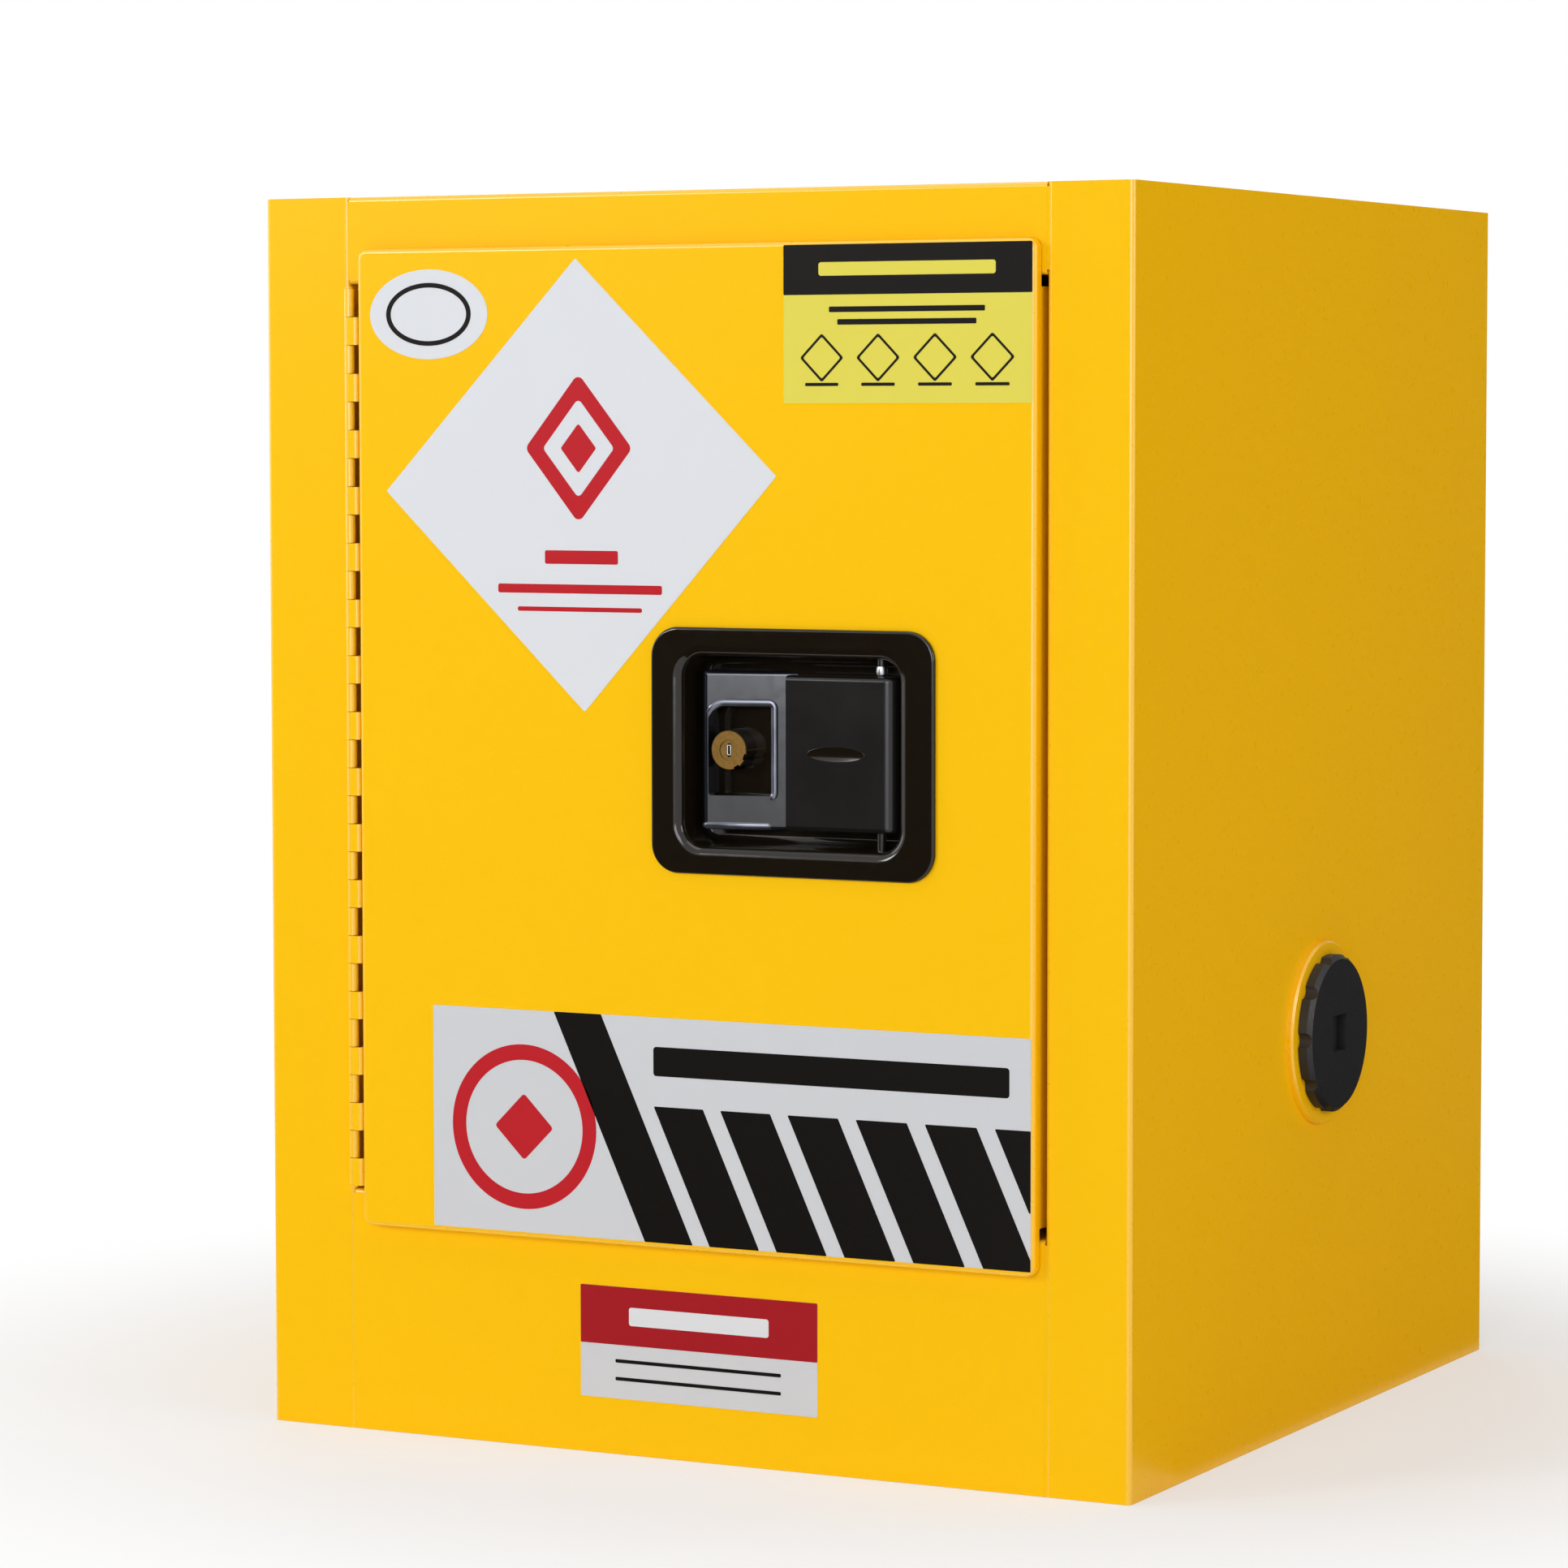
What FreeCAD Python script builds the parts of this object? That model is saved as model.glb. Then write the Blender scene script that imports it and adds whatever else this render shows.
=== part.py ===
import FreeCAD, Part
import math
import os
from FreeCAD import Vector

# Small single-door safety cabinet for flammable liquids. Millimetres, +Z up, the front faces -Y.
# Everything is drawn with y = 0 on the plane of the front frame and is moved back by half the
# depth when it is written, so the origin ends up in the middle of the base.

# Cabinet body
body_width = 430.0
body_depth = 430.0
body_height = 560.0
sheet = 1.2            # thickness of every folded body and door sheet
fold = 0.8             # inside radius of the folds in that sheet
seam = 0.2             # open line between the stiles and the header or the sill
edge_flange = 18.0     # folded edges by which the outer panels are welded together

# Doorway in the front frame
hinge_stile = 44.3
latch_stile = 40.0
header = 39.0
sill = 110.5
jamb_depth = 42.0      # how far the frame's edges turn back into the cabinet

# Inner walls
back_wall = 38.8       # from the inside of the back wall to the outside of the cabinet
liner_lap = 9.0        # lap of the inner walls on the turned edges of the doorway
liner_flange = 14.0
sump_depth = 50.0      # liquid-tight floor pan below the doorway's sill
sump_lip = 5.0         # the pan's edge stays this far below the sill
sill_leg = 40.0        # the sill's inner leg, which covers the pan's front wall
channel_width = 50.0
channel_brim = 14.0
floor_channel_inset = 90.0
back_channel_inset = 105.0
back_channel_trim = 60.0

# Door: a folded outer skin and an inner pan, with air between them
door_proud = 6.0       # how far the skin stands in front of the frame
door_thickness = 40.0
door_overlap = 15.5    # the skin laps over the header and the sill
door_rest_gap = 0.4    # between the skin's turned edge and the frame it closes on
door_gap_ends = 5.0    # above and below the door's box
door_gap_latch = 2.5
door_corner = 4.5
pan_flange = 14.0
stiffener_width = 30.0
stiffener_depth = 15.0
stiffener_brim = 10.0
stiffener_inset = 78.0
stiffener_trim = 12.0

# Continuous hinge
knuckle = 12.7
hinge_end_gap = 4.0    # least room left over at the barrel's two ends together
knuckle_gap = 0.15     # each knuckle's end stays this far inside its pitch
barrel_radius = 2.3
hinge_leaf = 1.2
hinge_leaf_depth = 28.0
hinge_axis_forward = 4.0
hinge_pin_clearance = 0.06
hinge_run = 3.0        # open slot between the frame's knuckles and the door's edge
hinge_bend = 0.6       # inside radius where the door's leaf turns to its knuckles
hinge_notch_clearance = 0.6
hinge_pin_head = 0.8
rivet_radius = 1.6
rivet_head_radius = 2.8
rivet_head = 1.0
rivet_count = 7
rivet_inset = 24.0
rivet_from_edge = 9.0

# Handle dish
handle_inset = 118.0   # from the doorway's latch edge to the middle of the dish
dish_width = 138.0
dish_height = 108.0
dish_corner = 13.0
dish_sheet = 1.5
dish_gasket = 0.5
dish_left_band = 14.5
dish_right_band = 17.0
dish_top_band = 12.0
dish_depth = 18.2      # from the skin's front to the floor of the recess
dish_draft = 2.0
dish_mouth_corner = 10.0
dish_mouth_round = 4.5
dish_floor_round = 3.0
dish_rim_round = 1.2
dish_hole_clearance = 0.5
dish_stud_radius = 2.0
dish_stud_inset = 5.5
dish_nut = 7.0         # across flats
dish_nut_height = 3.2

# Finger ramp beside the paddle, with a window for the lock
ramp_gap_left = 6.0    # from the mouth of the dish
ramp_height = 70.0
ramp_lead = 9.0        # depth of the ramp's high edge below the rim
ramp_knee = 32.0       # length of the gentle slope
ramp_knee_drop = 7.5
ramp_under_paddle = 2.2
ramp_round = 2.2
window_inset = 3.0
window_width = 28.0
window_height = 40.0
window_corner = 7.0
window_small_corner = 1.0
window_lip = 3.0

# Paddle
paddle_width = 52.8
paddle_height = 67.5
paddle_gap_right = 3.5
paddle_recess = 4.0    # the paddle's face lies this far behind the rim
paddle_sheet = 1.8
paddle_side = 7.0      # depth of its turned edges
paddle_round = 2.2
paddle_pin_round = 5.5  # wider roll along the edge by the pin
paddle_edge_round = 1.0
paddle_angle = 35.0    # how far it pulls open
paddle_oval_width = 28.0
paddle_oval_height = 6.6
paddle_oval_depth = 0.5
pin_from_edge = 9.0
pin_behind_face = 5.6
pin_radius = 2.0
pin_clearance = 0.05
ear_radius = 5.0
tail_thickness = 5.0
tail_height = 18.0
tail_tip_radius = 3.0
spring_wire = 0.7
spring_turns = 5.25
spring_coil_radius = 2.9
spring_pitch = 1.1
spring_leg = 5.4
spring_floor_gap = 0.8
spring_above_tail = 2.0

# Latch: base plate, cam slide, side bolt and two rods
latch_base = 2.0
latch_base_left = 59.0   # from the middle of the dish to the plate's end at the lock
latch_base_right = 78.0
latch_base_half = 30.0
rod_plate_half = 88.0
slide_gap = 0.3
slide_sheet = 3.0
slide_half = 13.0
slide_left_reach = 41.5  # from the paddle's pin to the slide's free end
slide_right_reach = 54.0
slide_tab = 9.0
wing_half_width = 16.0
wing_reach = 56.0
tail_clearance = 0.6
rivet_body_radius = 3.0
rivet_slot_clearance = 0.3
rivet_cap_radius = 5.0
rivet_cap = 1.4
guide_left = 32.5        # rivets in the slide's slots, from the paddle's pin
guide_right = 24.0
bolt_half = 9.0
bolt_thickness = 8.0
bolt_lap = 12.0
bolt_engagement = 6.0    # how far the bolt enters the frame
bolt_clearance = 0.4
bolt_guide_length = 12.0
bolt_guide_wall = 3.0
rod_radius = 3.5
rod_inset = 21.5         # from the paddle's pin towards the hinge
rod_behind_slide = 7.5   # from the slide's rear face to the rods' axis
rod_engagement = 4.0     # how far a rod enters the frame
rod_tip = 2.0
rod_tail = 8.0
follower_radius = 2.5
follower_rise = 44.0
follower_clearance = 0.35
rod_clearance = 0.3
bracket_rise = 80.0
bracket_sheet = 2.0
bracket_half = 9.0
bracket_foot = 14.0
bush_flange_radius = 7.0
bush_flange = 4.0
bush_neck_radius = 5.0
bush_neck_proud = 1.0
bush_fit = 0.05
strike_sheet = 2.0
strike_margin = 7.0
strike_clearance = 1.0

# Key lock
lock_from_ramp = 12.6    # from the ramp's high edge to the lock's axis
lock_head_radius = 9.0
lock_head_length = 9.4
lock_neck_radius = 7.6
lock_neck_length = 12.6
lock_fit = 0.3
lock_nut = 20.0
lock_nut_height = 5.0
lock_notch_width = 2.6
lock_notch_depth = 1.3
plug_radius = 4.5
plug_clearance = 0.05
plug_sunk = 0.4
plug_tail_radius = 3.0
keyway_width = 1.4
keyway_height = 6.0
keyway_depth = 6.0
cam_sheet = 2.0
cam_gap = 0.3
cam_reach = 22.0
cam_hub_radius = 6.5
cam_half = 4.5
cam_end = 1.2

# Shelf on four clips
shelf_height = 300.0
shelf_edge = 22.0
shelf_gap_side = 2.0
shelf_front = 52.0
shelf_rear_gap = 4.0
slot_width = 3.2
slot_height = 12.0
slot_pitch = 25.0
slot_end = 45.0          # from the last slot to the inner top, at least
slot_first = 166.0
slot_front = 85.0
slot_rear_inset = 46.0
clip_sheet = 1.5
clip_width = 16.0
clip_height = 24.0
clip_ledge = 14.0
clip_tongue_clearance = 0.3
clip_hook = 3.0

# Vents through both walls, one low and one high
vent_depth = 215.0
vent_low = 180.0
vent_high_below_top = 120.0
vent_bore = 26.0
vent_tube = 30.0
vent_hole_clearance = 0.3
vent_flange_radius = 42.0
vent_flange = 3.0
vent_flange_round = 1.0
vent_ring = 3.0
vent_ring_radius = 40.0
vent_plug_clearance = 0.4
vent_plug_length = 9.0
vent_plug_wall = 3.0
vent_cap_gap = 0.3
vent_cap_radius = 36.0
vent_cap = 6.0
vent_scallops = 10
vent_scallop_radius = 4.0
vent_scallop_out = 2.0
vent_socket = 17.0       # square socket for a spanner, across flats
vent_socket_depth = 5.0
mesh_sheet = 1.5
mesh_inset = 14.0
mesh_hole = 2.4
mesh_pitch = 9.0
mesh_rings = 2

# Earthing stud on the hinge side
earth_from_back = 38.0
earth_height = 70.0
earth_radius = 4.0
earth_clearance = 0.2
earth_proud = 25.0
earth_inside = 9.0
earth_nut = 13.0
earth_nut_height = 6.5
earth_washer_radius = 8.0
earth_washer = 1.6


# Derived planes and places
left = -body_width / 2
right = body_width / 2
outer_fold = fold + sheet
door_left = left + hinge_stile
door_right = right - latch_stile
door_bottom = sill
door_top = body_height - header
inner_left = door_left - sheet
inner_right = door_right + sheet
liner_front = jamb_depth - liner_lap
liner_rear = body_depth - back_wall
liner_top_z = door_top + sheet
slot_rows = int((liner_top_z - slot_end - slot_first) / slot_pitch)
vent_high = body_height - vent_high_below_top
sump_z = door_bottom - sump_depth
back_face = body_depth - 2 * sheet
earth_depth = body_depth - earth_from_back

skin_front = -door_proud
skin_back = skin_front + sheet
door_rear = skin_front + door_thickness
pan_back = door_rear - sheet
skin_left = door_left + 2 * barrel_radius + hinge_run
skin_right = door_right - door_gap_latch
skin_bottom = door_bottom - door_overlap
skin_top = door_top + door_overlap
box_bottom = door_bottom + door_gap_ends
box_top = door_top - door_gap_ends

hinge_x = door_left + barrel_radius
hinge_y = -hinge_axis_forward
knuckle_pairs = int((door_top - door_bottom - hinge_end_gap) / (2 * knuckle))
hinge_length = 2 * knuckle_pairs * knuckle
hinge_top = (door_bottom + door_top + hinge_length) / 2
hinge_bottom = hinge_top - hinge_length

handle_z = (door_bottom + door_top) / 2
dish_x = door_right - handle_inset
rim_back = skin_front - dish_gasket
rim_front = rim_back - dish_sheet
mouth_left = dish_x - dish_width / 2 + dish_left_band
mouth_right = dish_x + dish_width / 2 - dish_right_band
mouth_half = dish_height / 2 - dish_top_band
dish_floor = skin_front + dish_depth
dish_back = dish_floor + dish_sheet

paddle_right = mouth_right - paddle_gap_right
paddle_left = paddle_right - paddle_width
paddle_front = rim_front + paddle_recess
pin_x = paddle_right - pin_from_edge
pin_y = paddle_front + pin_behind_face

base_back = dish_back + latch_base
slide_front = base_back + slide_gap
slide_back = slide_front + slide_sheet
slide_mid = (slide_front + slide_back) / 2
tail_length = slide_mid - pin_y
travel = tail_length * math.sin(math.radians(paddle_angle))
slide_left = pin_x - slide_left_reach
slide_right = pin_x + slide_right_reach
bolt_left = slide_right - bolt_lap
bolt_tip = door_right + bolt_engagement
bolt_back = slide_back + bolt_thickness
rod_x = pin_x - rod_inset
rod_y = slide_back + rod_behind_slide

ramp_left = mouth_left + ramp_gap_left
ramp_right = paddle_left - ramp_under_paddle
ramp_front = rim_front + ramp_lead
lock_x = ramp_left + lock_from_ramp
lock_front = dish_floor - lock_head_length
lock_back = dish_floor + lock_neck_length
cam_front = lock_back + cam_gap
cam_back = cam_front + cam_sheet


# Geometry helpers
def block(x, y, z):
    """A box between the low and the high value of each pair."""
    return Part.makeBox(x[1] - x[0], y[1] - y[0], z[1] - z[0], Vector(x[0], y[0], z[0]))


def disc(axis, centre, radius, span):
    """A cylinder along X, Y or Z; centre gives its place on the other two axes, in order."""
    length = span[1] - span[0]
    if axis == "x":
        return Part.makeCylinder(radius, length, Vector(span[0], centre[0], centre[1]), Vector(1, 0, 0))
    if axis == "y":
        return Part.makeCylinder(radius, length, Vector(centre[0], span[0], centre[1]), Vector(0, 1, 0))
    return Part.makeCylinder(radius, length, Vector(centre[0], centre[1], span[0]), Vector(0, 0, 1))


def hexagon(axis, centre, across, span):
    """A hexagonal prism along X or Y."""
    radius = across / math.sqrt(3)
    corners = []
    for k in range(6):
        turn = math.radians(60 * k)
        u = centre[0] + radius * math.cos(turn)
        v = centre[1] + radius * math.sin(turn)
        corners.append((u, v))
    return prism(corners, axis, span)


def prism(corners, axis, span):
    """A polygon carried straight along one axis. Its corners lie on the other two axes, in order."""
    points = [place(axis, u, v, span[0]) for u, v in corners]
    face = Part.Face(Part.makePolygon(points + [points[0]]))
    return face.extrude(place(axis, 0, 0, span[1] - span[0]))


def place(axis, u, v, along):
    """The point that has u and v on the two other axes and the third value along the axis."""
    if axis == "x":
        return Vector(along, u, v)
    if axis == "y":
        return Vector(u, along, v)
    return Vector(u, v, along)


def rounded_line(corners, radii):
    """An open run of straight edges with an arc of the given radius at each inner corner."""
    edges = []
    start = corners[0]
    for k in range(1, len(corners) - 1):
        before = (corners[k - 1] - corners[k]).normalize()
        after = (corners[k + 1] - corners[k]).normalize()
        half = before.getAngle(after) / 2
        cut = radii[k - 1] / math.tan(half)
        first = corners[k] + before * cut
        last = corners[k] + after * cut
        middle = (before + after).normalize()
        centre = corners[k] + middle * (radii[k - 1] / math.sin(half))
        crown = centre - middle * radii[k - 1]
        edges.append(Part.LineSegment(start, first).toShape())
        edges.append(Part.Arc(first, crown, last).toShape())
        start = last
    edges.append(Part.LineSegment(start, corners[-1]).toShape())
    return edges


def offset_corners(corners, thickness):
    """The same run of corners, moved to its left by the thickness."""
    normals = []
    for k in range(len(corners) - 1):
        run = (corners[k + 1] - corners[k]).normalize()
        normals.append(Vector(-run.y, run.x, 0))
    moved = [corners[0] + normals[0] * thickness]
    for k in range(1, len(corners) - 1):
        mean = normals[k - 1] + normals[k]
        scale = 2 * thickness / mean.dot(mean)
        moved.append(corners[k] + mean * scale)
    moved.append(corners[-1] + normals[-1] * thickness)
    return moved


def folded(corners, axis, span, thickness=sheet, radius=fold):
    """Folded sheet: a run of corners on one face, the thickness to its left, carried along an axis."""
    outer = [Vector(u, v, 0) for u, v in corners]
    inner = offset_corners(outer, thickness)
    outer_radii = []
    inner_radii = []
    for k in range(1, len(outer) - 1):
        before = outer[k] - outer[k - 1]
        after = outer[k + 1] - outer[k]
        turns_left = before.cross(after).z > 0
        outer_radii.append(radius + thickness if turns_left else radius)
        inner_radii.append(radius if turns_left else radius + thickness)
    first = rounded_line(outer, outer_radii)
    second = rounded_line(inner, inner_radii)
    caps = [Part.LineSegment(outer[0], inner[0]).toShape(), Part.LineSegment(outer[-1], inner[-1]).toShape()]
    wire = Part.Wire(Part.__sortEdges__(first + second + caps))
    shape = Part.Face(wire).extrude(Vector(0, 0, span[1] - span[0]))
    shape.translate(Vector(0, 0, span[0]))
    if axis == "x":
        turned = FreeCAD.Matrix(0, 0, 1, 0, 1, 0, 0, 0, 0, 1, 0, 0, 0, 0, 0, 1)
        return shape.transformGeometry(turned)
    return shape


def rounded_rectangle(x, z, y, radius):
    """A closed wire at one y: a rectangle with four round corners."""
    k = radius * (1 - math.sqrt(0.5))
    lows = (x[0], z[0])
    highs = (x[1], z[1])
    edges = []

    def point(u, v):
        return Vector(u, y, v)

    def line(u1, v1, u2, v2):
        edges.append(Part.LineSegment(point(u1, v1), point(u2, v2)).toShape())

    def arc(u1, v1, u2, v2, u3, v3):
        edges.append(Part.Arc(point(u1, v1), point(u2, v2), point(u3, v3)).toShape())

    x0, z0 = lows
    x1, z1 = highs
    line(x0 + radius, z0, x1 - radius, z0)
    arc(x1 - radius, z0, x1 - k, z0 + k, x1, z0 + radius)
    line(x1, z0 + radius, x1, z1 - radius)
    arc(x1, z1 - radius, x1 - k, z1 - k, x1 - radius, z1)
    line(x1 - radius, z1, x0 + radius, z1)
    arc(x0 + radius, z1, x0 + k, z1 - k, x0, z1 - radius)
    line(x0, z1 - radius, x0, z0 + radius)
    arc(x0, z0 + radius, x0 + k, z0 + k, x0 + radius, z0)
    return Part.Wire(edges)


def rounded_block(x, y, z, radius):
    """A block whose four edges along Y are round."""
    face = Part.Face(rounded_rectangle(x, z, y[0], radius))
    return face.extrude(Vector(0, y[1] - y[0], 0))


def edges_at(shape, axis, value, tolerance=1e-4):
    """The edges of a shape that lie wholly in one plane across an axis."""
    found = []
    for edge in shape.Edges:
        bounds = edge.BoundBox
        low, high = {
            "x": (bounds.XMin, bounds.XMax),
            "y": (bounds.YMin, bounds.YMax),
            "z": (bounds.ZMin, bounds.ZMax),
        }[axis]
        if abs(low - value) < tolerance and abs(high - value) < tolerance:
            found.append(edge)
    return found


def edges_but(shape, axis, value):
    """All edges of a shape but those that lie in one plane across an axis."""
    left_out = [edge.hashCode() for edge in edges_at(shape, axis, value)]
    return [edge for edge in shape.Edges if edge.hashCode() not in left_out]


def tray(x, y, z, thickness, outer_radius, open_axis, open_side):
    """A pressed tray: a block hollowed from one side, with its folded edges and corners round."""
    pairs = {"x": x, "y": y, "z": z}
    closed, rim = pairs[open_axis] if open_side > 0 else pairs[open_axis][::-1]
    body = block(x, y, z)
    body = body.makeFillet(outer_radius, edges_but(body, open_axis, rim))
    hollow = {}
    for axis, (low, high) in pairs.items():
        if axis != open_axis:
            hollow[axis] = (low + thickness, high - thickness)
        elif open_side > 0:
            hollow[axis] = (low + thickness, high + thickness)
        else:
            hollow[axis] = (low - thickness, high - thickness)
    cavity = block(hollow["x"], hollow["y"], hollow["z"])
    cavity = cavity.makeFillet(outer_radius - thickness, edges_but(cavity, open_axis, rim + open_side * thickness))
    return body.cut(cavity)


def mirrored(shape, height=handle_z):
    """The same piece below the handle's middle plane."""
    return shape.mirror(Vector(0, 0, height), Vector(0, 0, 1))


def joined(*shapes):
    """One solid from pieces that share walls."""
    result = shapes[0].multiFuse(list(shapes[1:]))
    return result.removeSplitter()


# Cabinet shell
def outer_side(side):
    """Side wall, front stile and turned jamb, folded from one sheet."""
    stile = hinge_stile if side < 0 else latch_stile
    edge = side * body_width / 2
    inward = -side
    run = [
        (edge + inward * stile, jamb_depth),
        (edge + inward * stile, 0.0),
        (edge, 0.0),
        (edge, body_depth),
        (edge + inward * edge_flange, body_depth),
    ]
    if side < 0:
        run.reverse()
    panel = folded(run, "z", (0.0, body_height))
    if side < 0:
        hole = disc("x", (earth_depth, earth_height), earth_radius + earth_clearance, (left - 1, left + 5))
        panel = rivet_holes(panel, door_left + hinge_leaf, -1)
        vent_z = vent_high
    else:
        y = (slide_back - bolt_clearance, bolt_back + bolt_clearance)
        z = (handle_z - bolt_half - bolt_clearance, handle_z + bolt_half + bolt_clearance)
        hole = block((door_right - 1, inner_right + 1), y, z)
        vent_z = vent_low
    radius = vent_tube + vent_hole_clearance
    span = (edge - outer_fold, edge + outer_fold)
    return panel.cut(hole).cut(disc("x", (vent_depth, vent_z), radius, span))


def outer_top():
    """Top panel with the header and the doorway's upper edge folded down in front."""
    front = folded(
        [(jamb_depth, body_height), (0.0, body_height), (0.0, door_top), (jamb_depth, door_top)],
        "x", (door_left + seam, door_right - seam))
    lid_z = (body_height - sheet, body_height)
    lid = block((left + sheet, right - sheet), (jamb_depth + seam, body_depth - outer_fold), lid_z)
    middle = block((door_left + seam, door_right - seam), (jamb_depth - 1, jamb_depth + 1), lid_z)
    corners = block((left + sheet, right - sheet), (outer_fold, jamb_depth + 1), lid_z)
    corners = corners.cut(block((inner_left - seam, inner_right + seam), (0, jamb_depth + seam), lid_z))
    rear = folded(
        [(body_depth, body_height - edge_flange), (body_depth, body_height),
         (body_depth - 2 * outer_fold, body_height)],
        "x", (left + edge_flange, right - edge_flange))
    hole = disc("z", (rod_x, rod_y), rod_radius + strike_clearance, (door_top - 1, liner_top_z + 1))
    return joined(front, middle, lid, corners, rear).cut(hole)


def front_sill():
    """Sill below the doorway: front plate, top ledge and inner leg in front of the floor pan."""
    run = [(0.0, 0.0), (0.0, door_bottom), (jamb_depth, door_bottom), (jamb_depth, door_bottom - sill_leg)]
    panel = folded(run[::-1], "x", (door_left + seam, door_right - seam))
    hole = disc("z", (rod_x, rod_y), rod_radius + strike_clearance, (door_bottom - outer_fold, door_bottom + 1))
    return panel.cut(hole)


def outer_back():
    x = (left + outer_fold, right - outer_fold)
    return block(x, (back_face, back_face + sheet), (0.0, body_height - outer_fold))


def outer_base():
    """Base plate with its edges turned up inside the other panels, notched for the turned stiles."""
    x = (left + sheet, right - sheet)
    base = tray(x, (sheet, back_face), (0.0, edge_flange), sheet, outer_fold, "z", 1)
    notches = [
        block((inner_left - outer_fold, door_left + seam), (0, jamb_depth + seam), (-1, edge_flange + 1)),
        block((door_right - seam, inner_right + outer_fold), (0, jamb_depth + seam), (-1, edge_flange + 1)),
    ]
    return base.cut(Part.makeCompound(notches))


# Inner walls and floor pan
def liner_side(side):
    """Inner side wall with a rear flange, rows of clip slots and the hole for the vent."""
    face = inner_left if side < 0 else inner_right
    flange = face + side * (sheet + liner_flange)
    run = [(face, liner_front), (face, liner_rear), (flange, liner_rear)]
    if side > 0:
        run.reverse()
    wall = folded(run, "z", (sump_z, liner_top_z))
    span = (face - outer_fold, face + outer_fold)
    cuts = [disc("x", (vent_depth, vent_height(side)), vent_tube + vent_hole_clearance, span)]
    for y in (slot_front, liner_rear - slot_rear_inset):
        for row in range(slot_rows):
            z = slot_first + row * slot_pitch
            cuts.append(block(span, (y - slot_width / 2, y + slot_width / 2), (z, z + slot_height)))
    return wall.cut(Part.makeCompound(cuts))


def vent_height(side):
    return vent_high if side < 0 else vent_low


def liner_back():
    x = (inner_left - sheet - liner_flange, inner_right + sheet + liner_flange)
    return block(x, (liner_rear, liner_rear + sheet), (sump_z, liner_top_z))


def liner_top():
    """Inner top; in front it lies on the header's ledge, between the stiles' turned edges."""
    z = (liner_top_z, liner_top_z + sheet)
    x = (inner_left - sheet - liner_flange, inner_right + sheet + liner_flange)
    plate = block(x, (jamb_depth + seam, liner_rear + sheet), z)
    lap = block((door_left + seam, door_right - seam), (liner_front, jamb_depth + 1), z)
    return joined(plate, lap)


def sump_pan():
    """Liquid-tight floor pan between the inner walls and behind the sill."""
    x = (inner_left, inner_right)
    z = (sump_z, door_bottom - sump_lip)
    return tray(x, (jamb_depth, liner_rear - sheet), z, sheet, outer_fold, "z", 1)


def hat(width, depth, brim, axis_from, axis_to):
    """Hat channel in the XY plane, its crown at y = depth, carried along Z."""
    half = width / 2
    crown = depth - sheet
    run = [(-half - brim, 0), (-half, 0), (-half, crown), (half, crown), (half, 0), (half + brim, 0)]
    return folded(run, "z", (axis_from, axis_to))


def floor_channels():
    """Two channels that carry the floor pan on the base plate."""
    depth = sump_z - sheet
    pieces = []
    for y in (floor_channel_inset, body_depth - floor_channel_inset):
        channel = hat(channel_width, depth, channel_brim, inner_left, inner_right)
        channel.rotate(Vector(), Vector(1, 0, 0), 90)
        channel.rotate(Vector(), Vector(0, 0, 1), 90)
        channel.translate(Vector(0, y, sheet))
        pieces.append(channel)
    return Part.makeCompound(pieces)


def back_channels():
    """Two upright channels between the inner back wall and the outer back panel."""
    depth = back_face - liner_rear - sheet
    pieces = []
    for x in (left + back_channel_inset, right - back_channel_inset):
        channel = hat(channel_width, depth, channel_brim, sump_z + back_channel_trim,
                      liner_top_z - back_channel_trim)
        channel.translate(Vector(x, liner_rear + sheet, 0))
        pieces.append(channel)
    return Part.makeCompound(pieces)


# Continuous hinge
def knuckles(first):
    """Every second knuckle of the barrel, counted from the top."""
    rings = []
    for k in range(first, 2 * knuckle_pairs, 2):
        top = hinge_top - k * knuckle
        span = (top - knuckle + knuckle_gap, top - knuckle_gap)
        rings.append(span)
    return rings


def leaf_with_barrel(plate, strips, spans):
    """Joins the knuckles to their leaf and bores them for the pin."""
    rings = [disc("z", (hinge_x, hinge_y), barrel_radius, span) for span in spans]
    leaf = plate.multiFuse(rings + strips)
    bore = barrel_radius - hinge_leaf
    leaf = leaf.cut(disc("z", (hinge_x, hinge_y), bore, (hinge_bottom - 1, hinge_top + 1)))
    return leaf.removeSplitter()


def hinge_frame_leaf():
    """Leaf on the frame's turned edge, tangent to the barrel."""
    notch = hinge_y + barrel_radius + hinge_notch_clearance
    x = (door_left, door_left + hinge_leaf)
    plate = block(x, (notch, hinge_y + hinge_leaf_depth), (hinge_bottom, hinge_top))
    spans = knuckles(0)
    strips = [block(x, (hinge_y, notch), span) for span in spans]
    return leaf_with_barrel(plate, strips, spans)


def hinge_door_leaf():
    """Leaf on the door's edge; tabs turn from it across the front of the slot to their knuckles."""
    notch = hinge_y + barrel_radius + hinge_notch_clearance
    x = (skin_left - hinge_leaf, skin_left)
    plate = block(x, (notch, hinge_y + hinge_leaf_depth), (hinge_bottom, hinge_top))
    spans = knuckles(1)
    front = hinge_y - barrel_radius
    run = [(hinge_x + hinge_leaf / 2, front), (skin_left, front), (skin_left, notch)]
    tabs = [folded(run, "z", span, hinge_leaf, hinge_bend) for span in spans]
    return leaf_with_barrel(plate, tabs, spans)


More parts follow.
